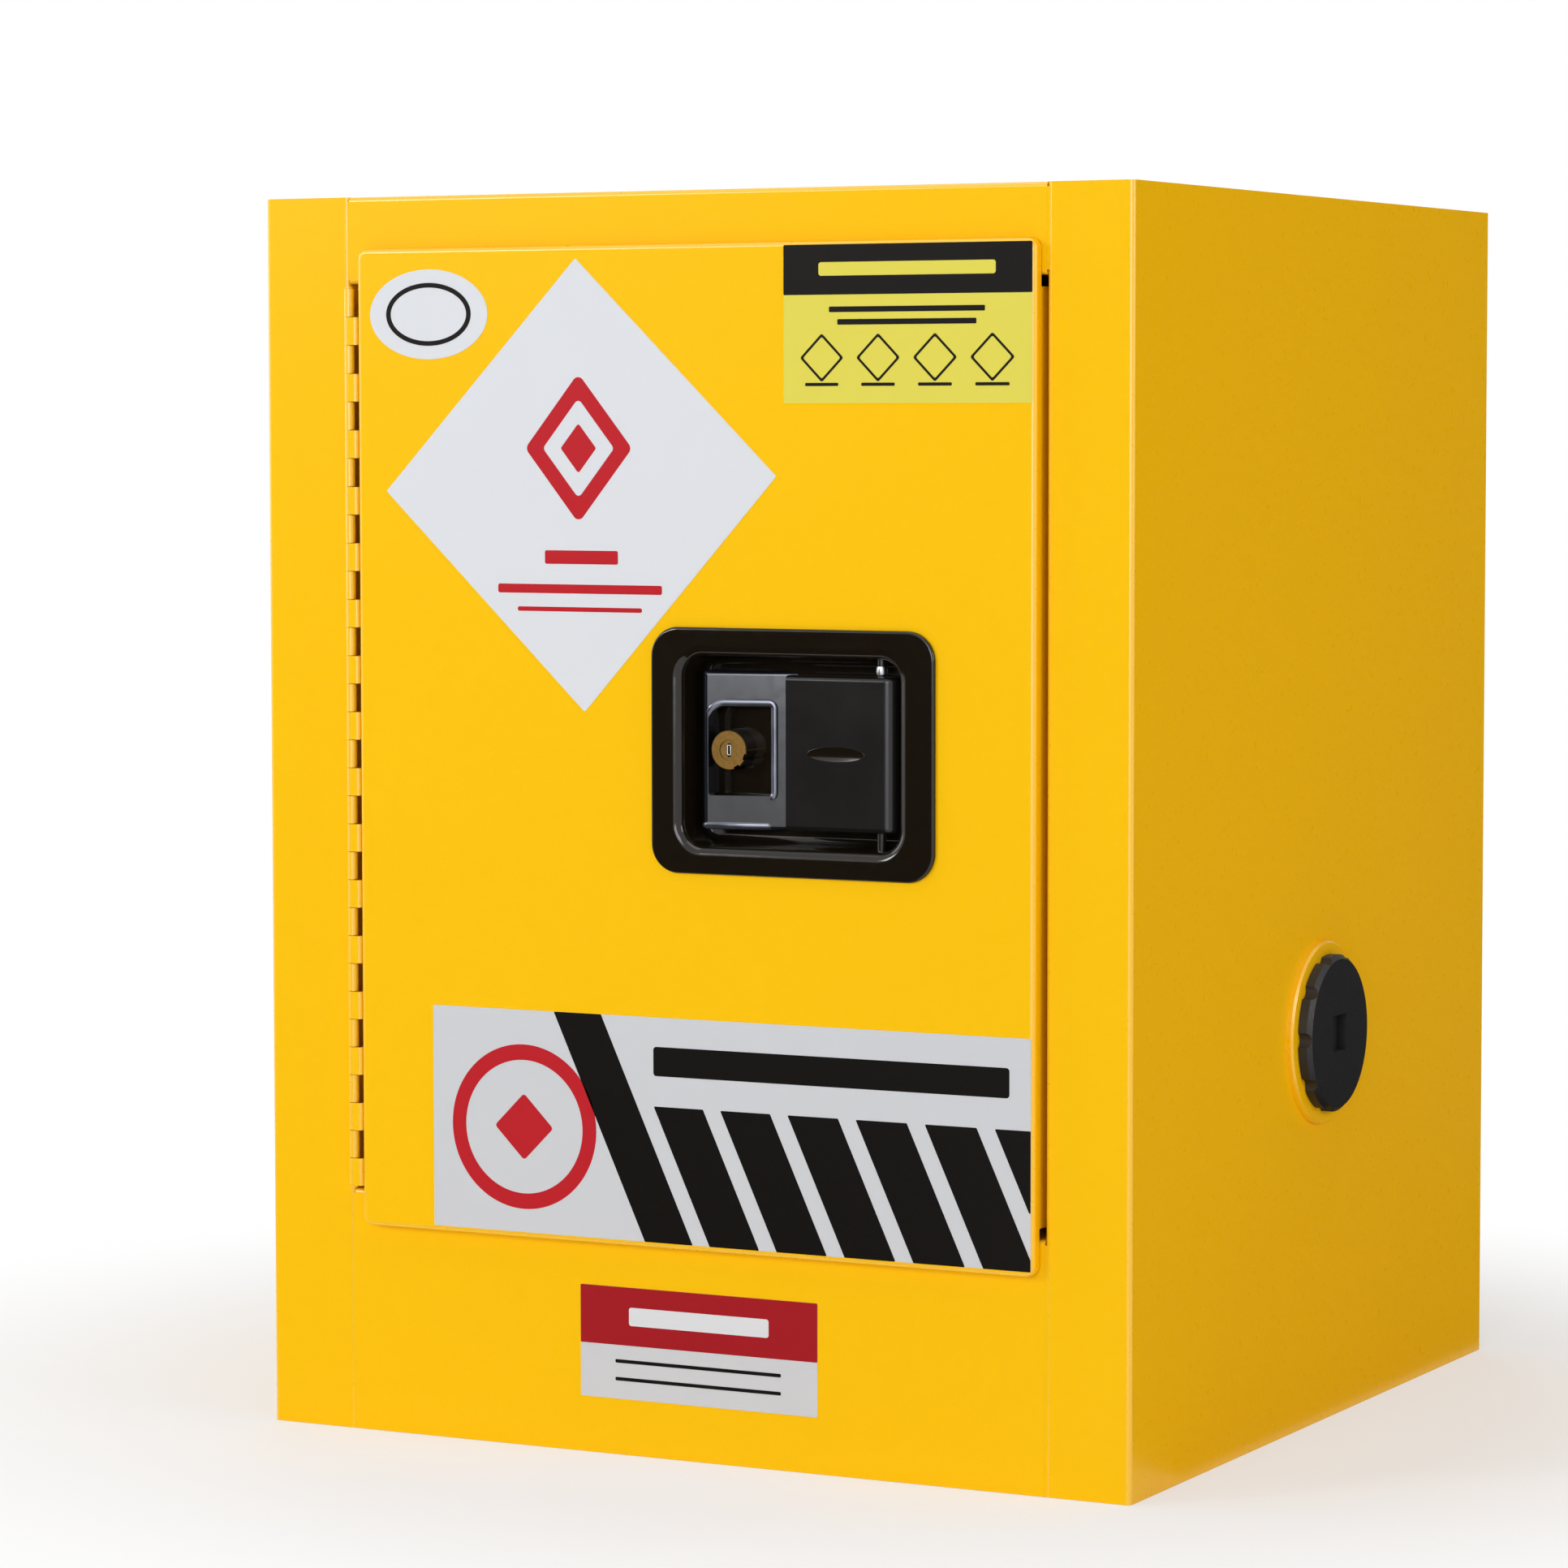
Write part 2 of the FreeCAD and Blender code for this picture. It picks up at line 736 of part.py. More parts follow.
def hinge_pin():
    """Pin through the whole barrel, with a small head at each end."""
    radius = barrel_radius - hinge_leaf - hinge_pin_clearance
    pin = disc("z", (hinge_x, hinge_y), radius, (hinge_bottom, hinge_top))
    head = barrel_radius - hinge_leaf / 2
    low = disc("z", (hinge_x, hinge_y), head, (hinge_bottom - hinge_pin_head, hinge_bottom))
    high = disc("z", (hinge_x, hinge_y), head, (hinge_top, hinge_top + hinge_pin_head))
    return joined(pin, low, high)


def rivet(x_face, direction, y, z, grip):
    """Rivet along X with a low domed head on the given face."""
    head = disc("x", (y, z), rivet_head_radius, tuple(sorted((x_face, x_face - direction * rivet_head))))
    head = head.makeFillet(rivet_head * 0.7, edges_at(head, "x", x_face - direction * rivet_head))
    shank = disc("x", (y, z), rivet_radius, tuple(sorted((x_face, x_face + direction * grip))))
    return joined(head, shank)


def rivet_rows():
    step = (hinge_length - 2 * rivet_inset) / (rivet_count - 1)
    return [hinge_bottom + rivet_inset + k * step for k in range(rivet_count)]


def rivet_row(x_face, direction):
    y = hinge_y + hinge_leaf_depth - rivet_from_edge
    return Part.makeCompound([rivet(x_face, direction, y, z, hinge_leaf + sheet) for z in rivet_rows()])


def rivet_holes(shape, x_face, direction):
    """Holes for one row of hinge rivets through a sheet."""
    y = hinge_y + hinge_leaf_depth - rivet_from_edge
    span = tuple(sorted((x_face - direction, x_face + direction * (hinge_leaf + sheet + 1))))
    return shape.cut(Part.makeCompound([disc("x", (y, z), rivet_radius, span) for z in rivet_rows()]))


# Door
def door_skin():
    """Front sheet of the door with all edges turned back, and deeper sides along the box."""
    x = (skin_left, skin_right)
    z = (skin_bottom, skin_top)
    body = rounded_block(x, (skin_front, -door_rest_gap), z, door_corner)
    body = body.makeFillet(outer_fold, edges_at(body, "y", skin_front))
    inner_x = (skin_left + sheet, skin_right - sheet)
    inner_z = (skin_bottom + sheet, skin_top - sheet)
    cavity = rounded_block(inner_x, (skin_back, 0.0), inner_z, door_corner - sheet)
    cavity = cavity.makeFillet(fold, edges_at(cavity, "y", skin_back))
    body = body.cut(cavity)
    y = (-door_rest_gap - sheet, door_rear)
    z = (box_bottom, box_top)
    body = joined(body, block((skin_left, skin_left + sheet), y, z), block((skin_right - sheet, skin_right), y, z))
    opening = dish_opening((skin_front - 1, skin_back + 1))
    studs = [disc("y", at, dish_stud_radius + earth_clearance, (skin_front - 1, 0)) for at in dish_studs()]
    body = body.cut(Part.makeCompound([opening, bolt_opening()] + studs))
    return rivet_holes(body, skin_left - hinge_leaf, 1)


def bolt_opening():
    y = (slide_back - bolt_clearance, bolt_back + bolt_clearance)
    z = (handle_z - bolt_half - bolt_clearance, handle_z + bolt_half + bolt_clearance)
    return block((skin_right - outer_fold - sheet, skin_right + 1), y, z)


def dish_opening(y):
    """Cut-out for the recess, clear of the bend behind the dish's mouth."""
    clear = dish_mouth_round + dish_hole_clearance
    x = (mouth_left - clear, mouth_right + clear)
    z = (handle_z - mouth_half - clear, handle_z + mouth_half + clear)
    return rounded_block(x, y, z, dish_mouth_corner + clear)


def dish_studs():
    """Places of the four studs behind the dish's rim."""
    half_x = dish_width / 2 - dish_stud_inset
    half_z = dish_height / 2 - dish_stud_inset
    return [(dish_x + sx * half_x, handle_z + sz * half_z) for sx in (-1, 1) for sz in (-1, 1)]


def door_inner_pan():
    """Inner pan that closes the door from behind; its ends reach the skin."""
    x = (skin_left + sheet, skin_right - sheet)
    pan = tray(x, (skin_back, door_rear), (box_bottom, box_top), sheet, outer_fold, "y", -1)
    gap_z = (box_bottom + outer_fold, box_top - outer_fold)
    pan = pan.cut(block(x, (skin_back - 1, door_rear - pan_flange), gap_z))
    for notch_x in ((x[0] - 1, x[0] + fold), (x[1] - fold, x[1] + 1)):
        pan = pan.cut(block(notch_x, (skin_back - 1, skin_back + fold), (box_bottom - 1, box_top + 1)))
    holes = [disc("z", (rod_x, rod_y), bush_neck_radius + bush_fit, (box_top - outer_fold, box_top + 1)),
             disc("z", (rod_x, rod_y), bush_neck_radius + bush_fit, (box_bottom - 1, box_bottom + outer_fold)),
             bolt_opening()]
    return rivet_holes(pan.cut(Part.makeCompound(holes)), skin_left - hinge_leaf, 1)


def door_stiffener():
    """Upright channel behind the skin on the hinge side of the handle."""
    piece = hat(stiffener_width, stiffener_depth, stiffener_brim,
                box_bottom + sheet + stiffener_trim, box_top - sheet - stiffener_trim)
    piece.translate(Vector(skin_left + stiffener_inset, skin_back, 0))
    return piece


# Handle dish
def dish_loft(grow, y_front, y_floor):
    """The recess as a tapered block, grown by the sheet for its outside."""
    def ring(y, shrink):
        x = (mouth_left + shrink - grow, mouth_right - shrink + grow)
        z = (handle_z - mouth_half + shrink - grow, handle_z + mouth_half - shrink + grow)
        return rounded_rectangle(x, z, y, dish_mouth_corner - shrink + grow)
    depth = dish_floor - rim_front
    front = dish_draft * (y_front - rim_front) / depth
    floor = dish_draft * (y_floor - rim_front) / depth
    return Part.makeLoft([ring(y_front, front), ring(y_floor, floor)], True, True)


def handle_dish():
    """Pressed dish: flat rim, soft mouth, tapered recess and four studs."""
    x = (dish_x - dish_width / 2, dish_x + dish_width / 2)
    z = (handle_z - dish_height / 2, handle_z + dish_height / 2)
    rim = rounded_block(x, (rim_front, rim_back), z, dish_corner)
    rim = rim.makeFillet(dish_rim_round, edges_at(rim, "y", rim_front))
    tub = dish_loft(dish_sheet, rim_back - dish_sheet / 2, dish_back)
    tub = tub.makeFillet(dish_floor_round + dish_sheet, edges_at(tub, "y", dish_back))
    dish = rim.fuse(tub)
    bend = [e for e in edges_at(dish, "y", rim_back) if inside_band(e)]
    dish = dish.makeFillet(dish_mouth_round - dish_sheet, bend)
    hollow = dish_loft(0.0, rim_front - 1, dish_floor)
    hollow = hollow.makeFillet(dish_floor_round, edges_at(hollow, "y", dish_floor))
    dish = dish.cut(hollow)
    mouth = [e for e in edges_at(dish, "y", rim_front) if inside_band(e)]
    dish = dish.makeFillet(dish_mouth_round, mouth)
    studs = [disc("y", at, dish_stud_radius, (rim_back - 0.1, skin_back + dish_nut_height + 1)) for at in dish_studs()]
    dish = dish.multiFuse(studs)
    holes = [
        disc("z", (pin_x, pin_y), pin_radius + pin_clearance, (handle_z - dish_height, handle_z + dish_height)),
        disc("y", (lock_x, handle_z), lock_neck_radius + lock_fit, (dish_floor - 1, dish_back + 1)),
        tail_window(dish_floor - 1, dish_back + 1),
    ]
    return dish.cut(Part.makeCompound(holes))


def inside_band(edge):
    """True for the edges round the recess, false for those of the rim's outline."""
    bounds = edge.BoundBox
    near = 2 * dish_sheet
    wide = bounds.XMax <= mouth_right + near and bounds.XMin >= mouth_left - near
    tall = bounds.ZMax <= handle_z + mouth_half + near and bounds.ZMin >= handle_z - mouth_half - near
    return wide and tall


def tail_window(y_from, y_to):
    """Opening for the paddle's tail through the dish's floor and the latch's base plate."""
    reach = travel + tail_tip_radius + tail_clearance
    near = tail_tip_radius + tail_clearance
    half = tail_height / 2 + tail_clearance
    return block((pin_x - reach, pin_x + near), (y_from, y_to), (handle_z - half, handle_z + half))


def dish_gasket_ring():
    """Thin seal between the dish's rim and the skin."""
    x = (dish_x - dish_width / 2 + dish_rim_round, dish_x + dish_width / 2 - dish_rim_round)
    half = dish_height / 2 - dish_rim_round
    ring = rounded_block(x, (rim_back, skin_front), (handle_z - half, handle_z + half), dish_corner - dish_rim_round)
    opening = dish_opening((rim_back - 1, skin_front + 1))
    studs = [disc("y", at, dish_stud_radius, (rim_back - 1, skin_front + 1)) for at in dish_studs()]
    return ring.cut(Part.makeCompound([opening] + studs))


def dish_nuts():
    nuts = []
    for at in dish_studs():
        nut = hexagon("y", at, dish_nut, (skin_back, skin_back + dish_nut_height))
        nuts.append(nut.cut(disc("y", at, dish_stud_radius, (skin_back - 1, skin_back + dish_nut_height + 1))))
    return Part.makeCompound(nuts)


def ramp_outline(inset):
    """Outline of the ramp in the XY plane, or of its hollow when inset."""
    knee_x = ramp_left + ramp_knee
    knee_y = ramp_front + ramp_knee_drop
    slope = math.atan2(ramp_knee_drop, ramp_knee)
    steep = math.atan2(dish_floor - knee_y, ramp_right - knee_x)
    lift = inset / math.cos(slope)
    shift = inset / math.sin(steep)
    x0 = ramp_left + inset
    y0 = ramp_front + lift + inset * math.tan(slope)
    floor = dish_floor + (1.0 if inset else 0.0)
    x3 = ramp_right - shift + (floor - dish_floor) / math.tan(steep)
    mean = (slope + steep) / 2
    half = (steep - slope) / 2
    reach = inset / math.cos(half)
    x2 = knee_x - reach * math.sin(mean)
    y2 = knee_y + reach * math.cos(mean)
    return [(x0, floor), (x0, y0), (x2, y2), (x3, floor)]


def finger_ramp():
    """Pressed hood that guides the fingers under the paddle, with the lock's window."""
    z = (handle_z - ramp_height / 2, handle_z + ramp_height / 2)
    hood = prism(ramp_outline(0.0), "z", z)
    soft = []
    for edge in hood.Edges:
        bounds = edge.BoundBox
        on_floor = bounds.YMin > dish_floor - 1e-4
        along_floor_end = edge.Length > ramp_height - 1 and bounds.YMax > ramp_front + 1
        upright = bounds.XMax < ramp_left + 1e-4 and edge.Length < ramp_height - 1
        if not on_floor and not along_floor_end and not upright:
            soft.append(edge)
    hood = hood.makeFillet(ramp_round, soft)
    inner_z = (z[0] + dish_sheet, z[1] - dish_sheet)
    hood = hood.cut(prism(ramp_outline(dish_sheet), "z", inner_z))
    x = (ramp_left + window_inset, ramp_left + window_inset + window_width)
    window_z = (handle_z - window_height / 2, handle_z + window_height / 2)
    y = (ramp_front - 1, dish_floor + 1)
    frame_y = (ramp_front, ramp_front + ramp_knee_drop + window_lip)
    outer_x = (x[0] - dish_sheet, x[1] + dish_sheet)
    outer_z = (window_z[0] - dish_sheet, window_z[1] + dish_sheet)
    lip = window_prism(outer_x, frame_y, outer_z, dish_sheet)
    lip = lip.common(prism(ramp_band(), "z", z))
    hood = hood.fuse(lip)
    hood = hood.cut(window_prism(x, y, window_z, 0.0))
    return hood.removeSplitter()


def ramp_band():
    """A band along the gentle slope, as deep as the window's turned lip."""
    near = ramp_outline(dish_sheet / 2)
    far = ramp_outline(dish_sheet + window_lip)
    slope = ramp_knee_drop / ramp_knee
    x0 = ramp_left + dish_sheet / 2
    x1 = ramp_left + ramp_knee - dish_sheet
    y_near = near[1][1]
    y_far = y_near + window_lip + dish_sheet
    run = slope * (x1 - x0)
    return [(x0, y_near), (x1, y_near + run), (x1, min(y_far + run, far[2][1] + window_lip)), (x0, y_far)]


def window_prism(x, y, z, grow):
    """The lock's window: one large round corner at the upper left, three small ones."""
    big = window_corner + grow
    small = window_small_corner + grow
    shape = block(x, y, z)
    for edge_x, edge_z, radius in (
        (x[0], z[1], big), (x[1], z[1], small), (x[0], z[0], small), (x[1], z[0], small),
    ):
        edges = [e for e in shape.Edges if upright_along_y(e, edge_x, edge_z)]
        shape = shape.makeFillet(radius, edges)
    return shape


def upright_along_y(edge, x, z):
    bounds = edge.BoundBox
    on_x = abs(bounds.XMin - x) < 1e-4 and abs(bounds.XMax - x) < 1e-4
    on_z = abs(bounds.ZMin - z) < 1e-4 and abs(bounds.ZMax - z) < 1e-4
    return on_x and on_z


# Paddle
def paddle():
    """Pull plate with rolled edges, two ears for the pin and a tail that drives the slide."""
    x = (paddle_left, paddle_right)
    half = paddle_height / 2
    z = (handle_z - half, handle_z + half)
    plate = rolled_block(x, (paddle_front, paddle_front + paddle_side), z, 0.0)
    back = paddle_front + paddle_sheet
    cavity = rolled_block((paddle_left - 1, paddle_right - paddle_sheet), (back, paddle_front + paddle_side + 1),
                          (z[0] + paddle_sheet, z[1] - paddle_sheet), paddle_sheet)
    plate = plate.cut(cavity)
    ears = []
    behind_roll = (paddle_front + paddle_round, pin_y + ear_radius + 1)
    for side in (-1, 1):
        outer = handle_z + side * half
        span = tuple(sorted((outer, outer - side * paddle_sheet)))
        ears.append(disc("z", (pin_x, pin_y), ear_radius, span).common(block(x, behind_roll, span)))
    tail_z = (handle_z - tail_height / 2, handle_z + tail_height / 2)
    arm = block((pin_x - tail_thickness / 2, pin_x + tail_thickness / 2), (back - 0.2, pin_y + tail_length), tail_z)
    boss = disc("z", (pin_x, pin_y), ear_radius - 1, tail_z)
    boss = boss.common(block((paddle_left, paddle_right), (back - 0.2, slide_front), tail_z))
    tip = disc("z", (pin_x, slide_mid), tail_tip_radius, tail_z)
    shape = joined(plate, arm, boss, tip, *ears)
    shape = shape.cut(disc("z", (pin_x, pin_y), pin_radius + pin_clearance, (z[0] - 1, z[1] + 1)))
    return shape.cut(oval_recess())


def rolled_block(x, y, z, inset):
    """Block with rolled front edges: wide beside the pin, narrower above and below."""
    shape = block(x, y, z)
    by_pin = [e for e in edges_at(shape, "y", y[0]) if e.BoundBox.XMin > x[1] - 1e-4]
    shape = shape.makeFillet(paddle_pin_round - inset, by_pin)
    ends = [e for e in edges_at(shape, "y", y[0]) if e.BoundBox.XLength > paddle_pin_round]
    return shape.makeFillet(paddle_round - inset, ends)


def oval_recess():
    """Shallow oval in the middle of the paddle's face."""
    middle = (paddle_left + paddle_right) / 2 - paddle_round
    centre = Vector(middle, paddle_front - 1, handle_z)
    ring = Part.Ellipse(centre, paddle_oval_width / 2, paddle_oval_height / 2).toShape()
    ring.rotate(centre, Vector(1, 0, 0), 90)
    face = Part.Face(Part.Wire([ring]))
    return face.extrude(Vector(0, 1 + paddle_oval_depth, 0))


def paddle_pin():
    half = mouth_half + dish_sheet + 1
    return disc("z", (pin_x, pin_y), pin_radius, (handle_z - half, handle_z + half))


def paddle_spring():
    """Torsion spring round the pin: one leg along the paddle's back, one towards the dish's floor."""
    height = spring_turns * spring_pitch
    helix = Part.makeHelix(spring_pitch, height, spring_coil_radius)
    helix.rotate(Vector(), Vector(0, 0, 1), -90)
    circle = Part.makeCircle(spring_wire / 2, Vector(0, -spring_coil_radius, 0), Vector(1, 0, 0))
    coil = Part.Wire(helix.Edges).makePipeShell([Part.Wire([circle])], True, True)
    front_leg = disc("x", (-spring_coil_radius, 0), spring_wire / 2, (-spring_leg, 0))
    reach = dish_floor - pin_y - spring_floor_gap
    rear_leg = disc("y", (spring_coil_radius, height), spring_wire / 2, (0, reach))
    spring = joined(coil, front_leg, rear_leg).mirror(Vector(), Vector(1, 0, 0))
    spring.translate(Vector(pin_x, pin_y, handle_z + tail_height / 2 + spring_above_tail))
    return spring


# Latch
def latch_base_plate():
    """Base plate on the back of the dish with arms for the rods' brackets."""
    x = (dish_x - latch_base_left, dish_x + latch_base_right)
    y = (dish_back, base_back)
    main = rounded_block(x, y, (handle_z - latch_base_half, handle_z + latch_base_half), 4.0)
    arm_x = (rod_x - bracket_half - 3, rod_x + bracket_half + 3)
    arm = rounded_block(arm_x, y, (handle_z - rod_plate_half, handle_z + rod_plate_half), 4.0)
    plate = main.fuse(arm)
    holes = [
        disc("y", (lock_x, handle_z), lock_neck_radius + lock_fit, (dish_back - 1, base_back + 1)),
        tail_window(dish_back - 1, base_back + 1),
    ]
    for x in guide_places():
        holes.append(disc("y", (x, handle_z), rivet_radius, (dish_back - 1, base_back + 1)))
    return plate.cut(Part.makeCompound(holes)).removeSplitter()


def guide_places():
    return (pin_x - guide_left, pin_x + guide_right)


def slide_rivets():
    """Two shouldered rivets that guide the slide and hold it to the base plate."""
    rivets = []
    for x in guide_places():
        shank = disc("y", (x, handle_z), rivet_radius, (dish_back, base_back))
        body = disc("y", (x, handle_z), rivet_body_radius, (base_back, slide_back + slide_gap))
        cap = disc("y", (x, handle_z), rivet_cap_radius, (slide_back + slide_gap, slide_back + slide_gap + rivet_cap))
        rivets.append(joined(shank, body, cap))
    return Part.makeCompound(rivets)


def long_slot(x, z, radius, y, run_x, run_z):
    """A slot with round ends, from (x, z) along the given run."""
    length = math.hypot(run_x, run_z)
    straight = block((0, length), (0, y[1] - y[0]), (-radius, radius))
    near = disc("y", (0, 0), radius, (0, y[1] - y[0]))
    far = disc("y", (length, 0), radius, (0, y[1] - y[0]))
    slot = straight.multiFuse([near, far])
    slot.rotate(Vector(), Vector(0, 1, 0), -math.degrees(math.atan2(run_z, run_x)))
    slot.translate(Vector(x, y[0], z))
    return slot


def latch_slide():
    """Cam slide: the tail moves it sideways, two sloping slots draw the rods inwards."""
    y = (slide_front, slide_back)
    bar = block((slide_left, slide_right), y, (handle_z - slide_half, handle_z + slide_half))
    wing_mid = rod_x + travel / 2
    wing_x = (wing_mid - wing_half_width, wing_mid + wing_half_width)
    wing = rounded_block(wing_x, y, (handle_z - wing_reach, handle_z + wing_reach), 5.0)
    tab = block((slide_left, slide_left + slide_sheet), (slide_front, slide_back + slide_tab),
                (handle_z - slide_half + 4, handle_z + slide_half - 4))
    shape = joined(bar, wing, tab)
    cut_y = (slide_front - 1, slide_back + 1)
    near = tail_tip_radius + tail_clearance
    half = tail_height / 2 + tail_clearance
    cuts = [block((pin_x - near, pin_x + near), cut_y, (handle_z - half, handle_z + half))]
    radius = follower_radius + follower_clearance
    cuts.append(long_slot(rod_x, handle_z + follower_rise, radius, cut_y, travel, -travel))
    cuts.append(long_slot(rod_x, handle_z - follower_rise, radius, cut_y, travel, travel))
    for x in guide_places():
        cuts.append(long_slot(x, handle_z, rivet_body_radius + rivet_slot_clearance, cut_y, travel, 0.0))
    return shape.cut(Part.makeCompound(cuts))


def latch_bolt():
    """Side bolt on the slide's end, bevelled behind so that the door slams shut."""
    z = (handle_z - bolt_half, handle_z + bolt_half)
    bevel = bolt_engagement
    corners = [(bolt_left, slide_back), (bolt_tip, slide_back), (bolt_tip, bolt_back - bevel),
               (bolt_tip - bevel, bolt_back), (bolt_left, bolt_back)]
    return prism(corners, "z", z)


def bolt_guide():
    """Block inside the door's edge that the bolt slides through."""
    x = (skin_right - 2 * sheet - bolt_guide_length, skin_right - 2 * sheet)
    wall = bolt_guide_wall
    body = block(x, (slide_back - bolt_clearance - wall, bolt_back + bolt_clearance + wall),
                 (handle_z - bolt_half - bolt_clearance - wall, handle_z + bolt_half + bolt_clearance + wall))
    hole = block((x[0] - 1, x[1] + 1), (slide_back - bolt_clearance, bolt_back + bolt_clearance),
                 (handle_z - bolt_half - bolt_clearance, handle_z + bolt_half + bolt_clearance))
    return body.cut(hole)


def rod(side):
    """Locking rod with a follower pin in the slide's slot and a conical tip."""
    if side > 0:
        tip_z = door_top + rod_engagement
    else:
        tip_z = door_bottom - rod_engagement
        tip_z = 2 * handle_z - tip_z
    low = handle_z + follower_rise - rod_tail
    shaft = disc("z", (rod_x, rod_y), rod_radius, (low, tip_z - rod_tip))
    cone = Part.makeCone(rod_radius, rod_radius - rod_tip / 2, rod_tip, Vector(rod_x, rod_y, tip_z - rod_tip))
    pin = disc("y", (rod_x, handle_z + follower_rise), follower_radius, (slide_front, rod_y))
    shape = joined(shaft, cone, pin)
    return shape if side > 0 else mirrored(shape)


def rod_bracket(side):
    """Angle bracket on the base plate with a hole that guides the rod."""
    z = handle_z + bracket_rise
    x = (rod_x - bracket_half, rod_x + bracket_half)
    run = [(base_back, z - bracket_foot), (base_back, z), (rod_y + rod_radius + 2 * rod_clearance + 1.5, z)]
    angle = folded([(u, v) for u, v in run][::-1], "x", x, bracket_sheet, fold)
    angle = angle.cut(disc("z", (rod_x, rod_y), rod_radius + rod_clearance, (z - bracket_foot, z + bracket_foot)))
    return angle if side > 0 else mirrored(angle)


def rod_bushes():
    """Two collared bushes that guide the rods through the door's ends."""
    inner = box_top - sheet
    flange = disc("z", (rod_x, rod_y), bush_flange_radius, (inner - bush_flange, inner))
    reach = 2 * bush_flange_radius
    flange = flange.common(block((rod_x - reach, rod_x + reach), (0, pan_back - fold - bush_fit), (inner - reach, inner)))
    neck = disc("z", (rod_x, rod_y), bush_neck_radius, (inner - 1, box_top + bush_neck_proud))
    bore = disc("z", (rod_x, rod_y), rod_radius + rod_clearance, (inner - reach, box_top + reach))
    bush = joined(flange, neck).cut(bore)
    return Part.makeCompound([bush, mirrored(bush)])


def strike_side():
    """Plate behind the latch stile's turned edge, with the bolt's opening."""
    y = (slide_back - bolt_clearance, bolt_back + bolt_clearance)
    z = (handle_z - bolt_half - bolt_clearance, handle_z + bolt_half + bolt_clearance)
    rear = min(y[1] + strike_margin, liner_front - seam)
    plate = block((inner_right, inner_right + strike_sheet), (y[0] - strike_margin, rear),
                  (z[0] - strike_margin, z[1] + strike_margin))
    return plate.cut(block((inner_right - 1, inner_right + strike_sheet + 1), y, z))


def strike_end(side):
    """Plate behind the header's or the sill's turned edge, with the rod's hole."""
    radius = rod_radius + strike_clearance
    near = liner_top_z if side > 0 else door_bottom - sheet - strike_sheet
    span = (near, near + strike_sheet)
    rear = min(rod_y + radius + strike_margin, liner_front - seam)
    reach = radius + strike_margin
    plate = block((rod_x - reach, rod_x + reach), (rod_y - reach, rear), span)
    return plate.cut(disc("z", (rod_x, rod_y), radius, (span[0] - 1, span[1] + 1)))


# Key lock
def lock_cylinder():
    """Brass cylinder: a stout head on the dish's floor and a neck through it."""
    head = disc("y", (lock_x, handle_z), lock_head_radius, (lock_front, dish_floor))
    head = head.makeFillet(0.6, edges_at(head, "y", lock_front))
    neck = disc("y", (lock_x, handle_z), lock_neck_radius, (dish_floor - 1, lock_back))
    body = joined(head, neck)
    bore = disc("y", (lock_x, handle_z), plug_radius + plug_clearance, (lock_front - 1, lock_back + 1))
    notches = []
    for turn in (-20, -62):
        notch = block((lock_head_radius - lock_notch_depth, lock_head_radius + 2), (lock_front - 1, dish_floor),
                      (-lock_notch_width / 2, lock_notch_width / 2))
        notch.rotate(Vector(), Vector(0, 1, 0), -turn)
        notch.translate(Vector(lock_x, 0, handle_z))
        notches.append(notch)
    return body.cut(Part.makeCompound([bore] + notches))


def lock_ring_nut():
    nut = hexagon("y", (lock_x, handle_z), lock_nut, (base_back, base_back + lock_nut_height))
    return nut.cut(disc("y", (lock_x, handle_z), lock_neck_radius, (base_back - 1, base_back + lock_nut_height + 1)))


def key_plug():
    """Turning plug with its keyway and a tail for the cam."""
    plug = disc("y", (lock_x, handle_z), plug_radius, (lock_front + plug_sunk, lock_back))
    tail = disc("y", (lock_x, handle_z), plug_tail_radius, (lock_back - 1, cam_back + cam_end))
    keyway = block((lock_x - keyway_width / 2, lock_x + keyway_width / 2),
                   (lock_front - 1, lock_front + plug_sunk + keyway_depth),
                   (handle_z - keyway_height / 2, handle_z + keyway_height / 2))
    return joined(plug, tail).cut(keyway)


def lock_cam():
    """Flat cam on the plug's tail. It hangs when unlocked and points at the slide when locked."""
    y = (cam_front, cam_back)
    hub = disc("y", (lock_x, handle_z), cam_hub_radius, y)
    low = handle_z - cam_reach + cam_half
    arm = block((lock_x - cam_half, lock_x + cam_half), y, (low, handle_z))
    end = disc("y", (lock_x, low), cam_half, y)
    return joined(hub, arm, end).cut(disc("y", (lock_x, handle_z), plug_tail_radius, (y[0] - 1, y[1] + 1)))


# Shelf and clips
def shelf():
    """Shelf with all four edges turned down; it rests on the clips' ledges."""
    x = (inner_left + shelf_gap_side, inner_right - shelf_gap_side)
    y = (shelf_front, liner_rear - shelf_rear_gap)
    return tray(x, y, (shelf_height - shelf_edge, shelf_height), sheet, outer_fold, "z", -1)


def clip_row():
    """Number of the slot whose clip puts the shelf at about its height."""
    seat = shelf_height - shelf_edge
    return round((seat - slot_first - clip_sheet) / slot_pitch)


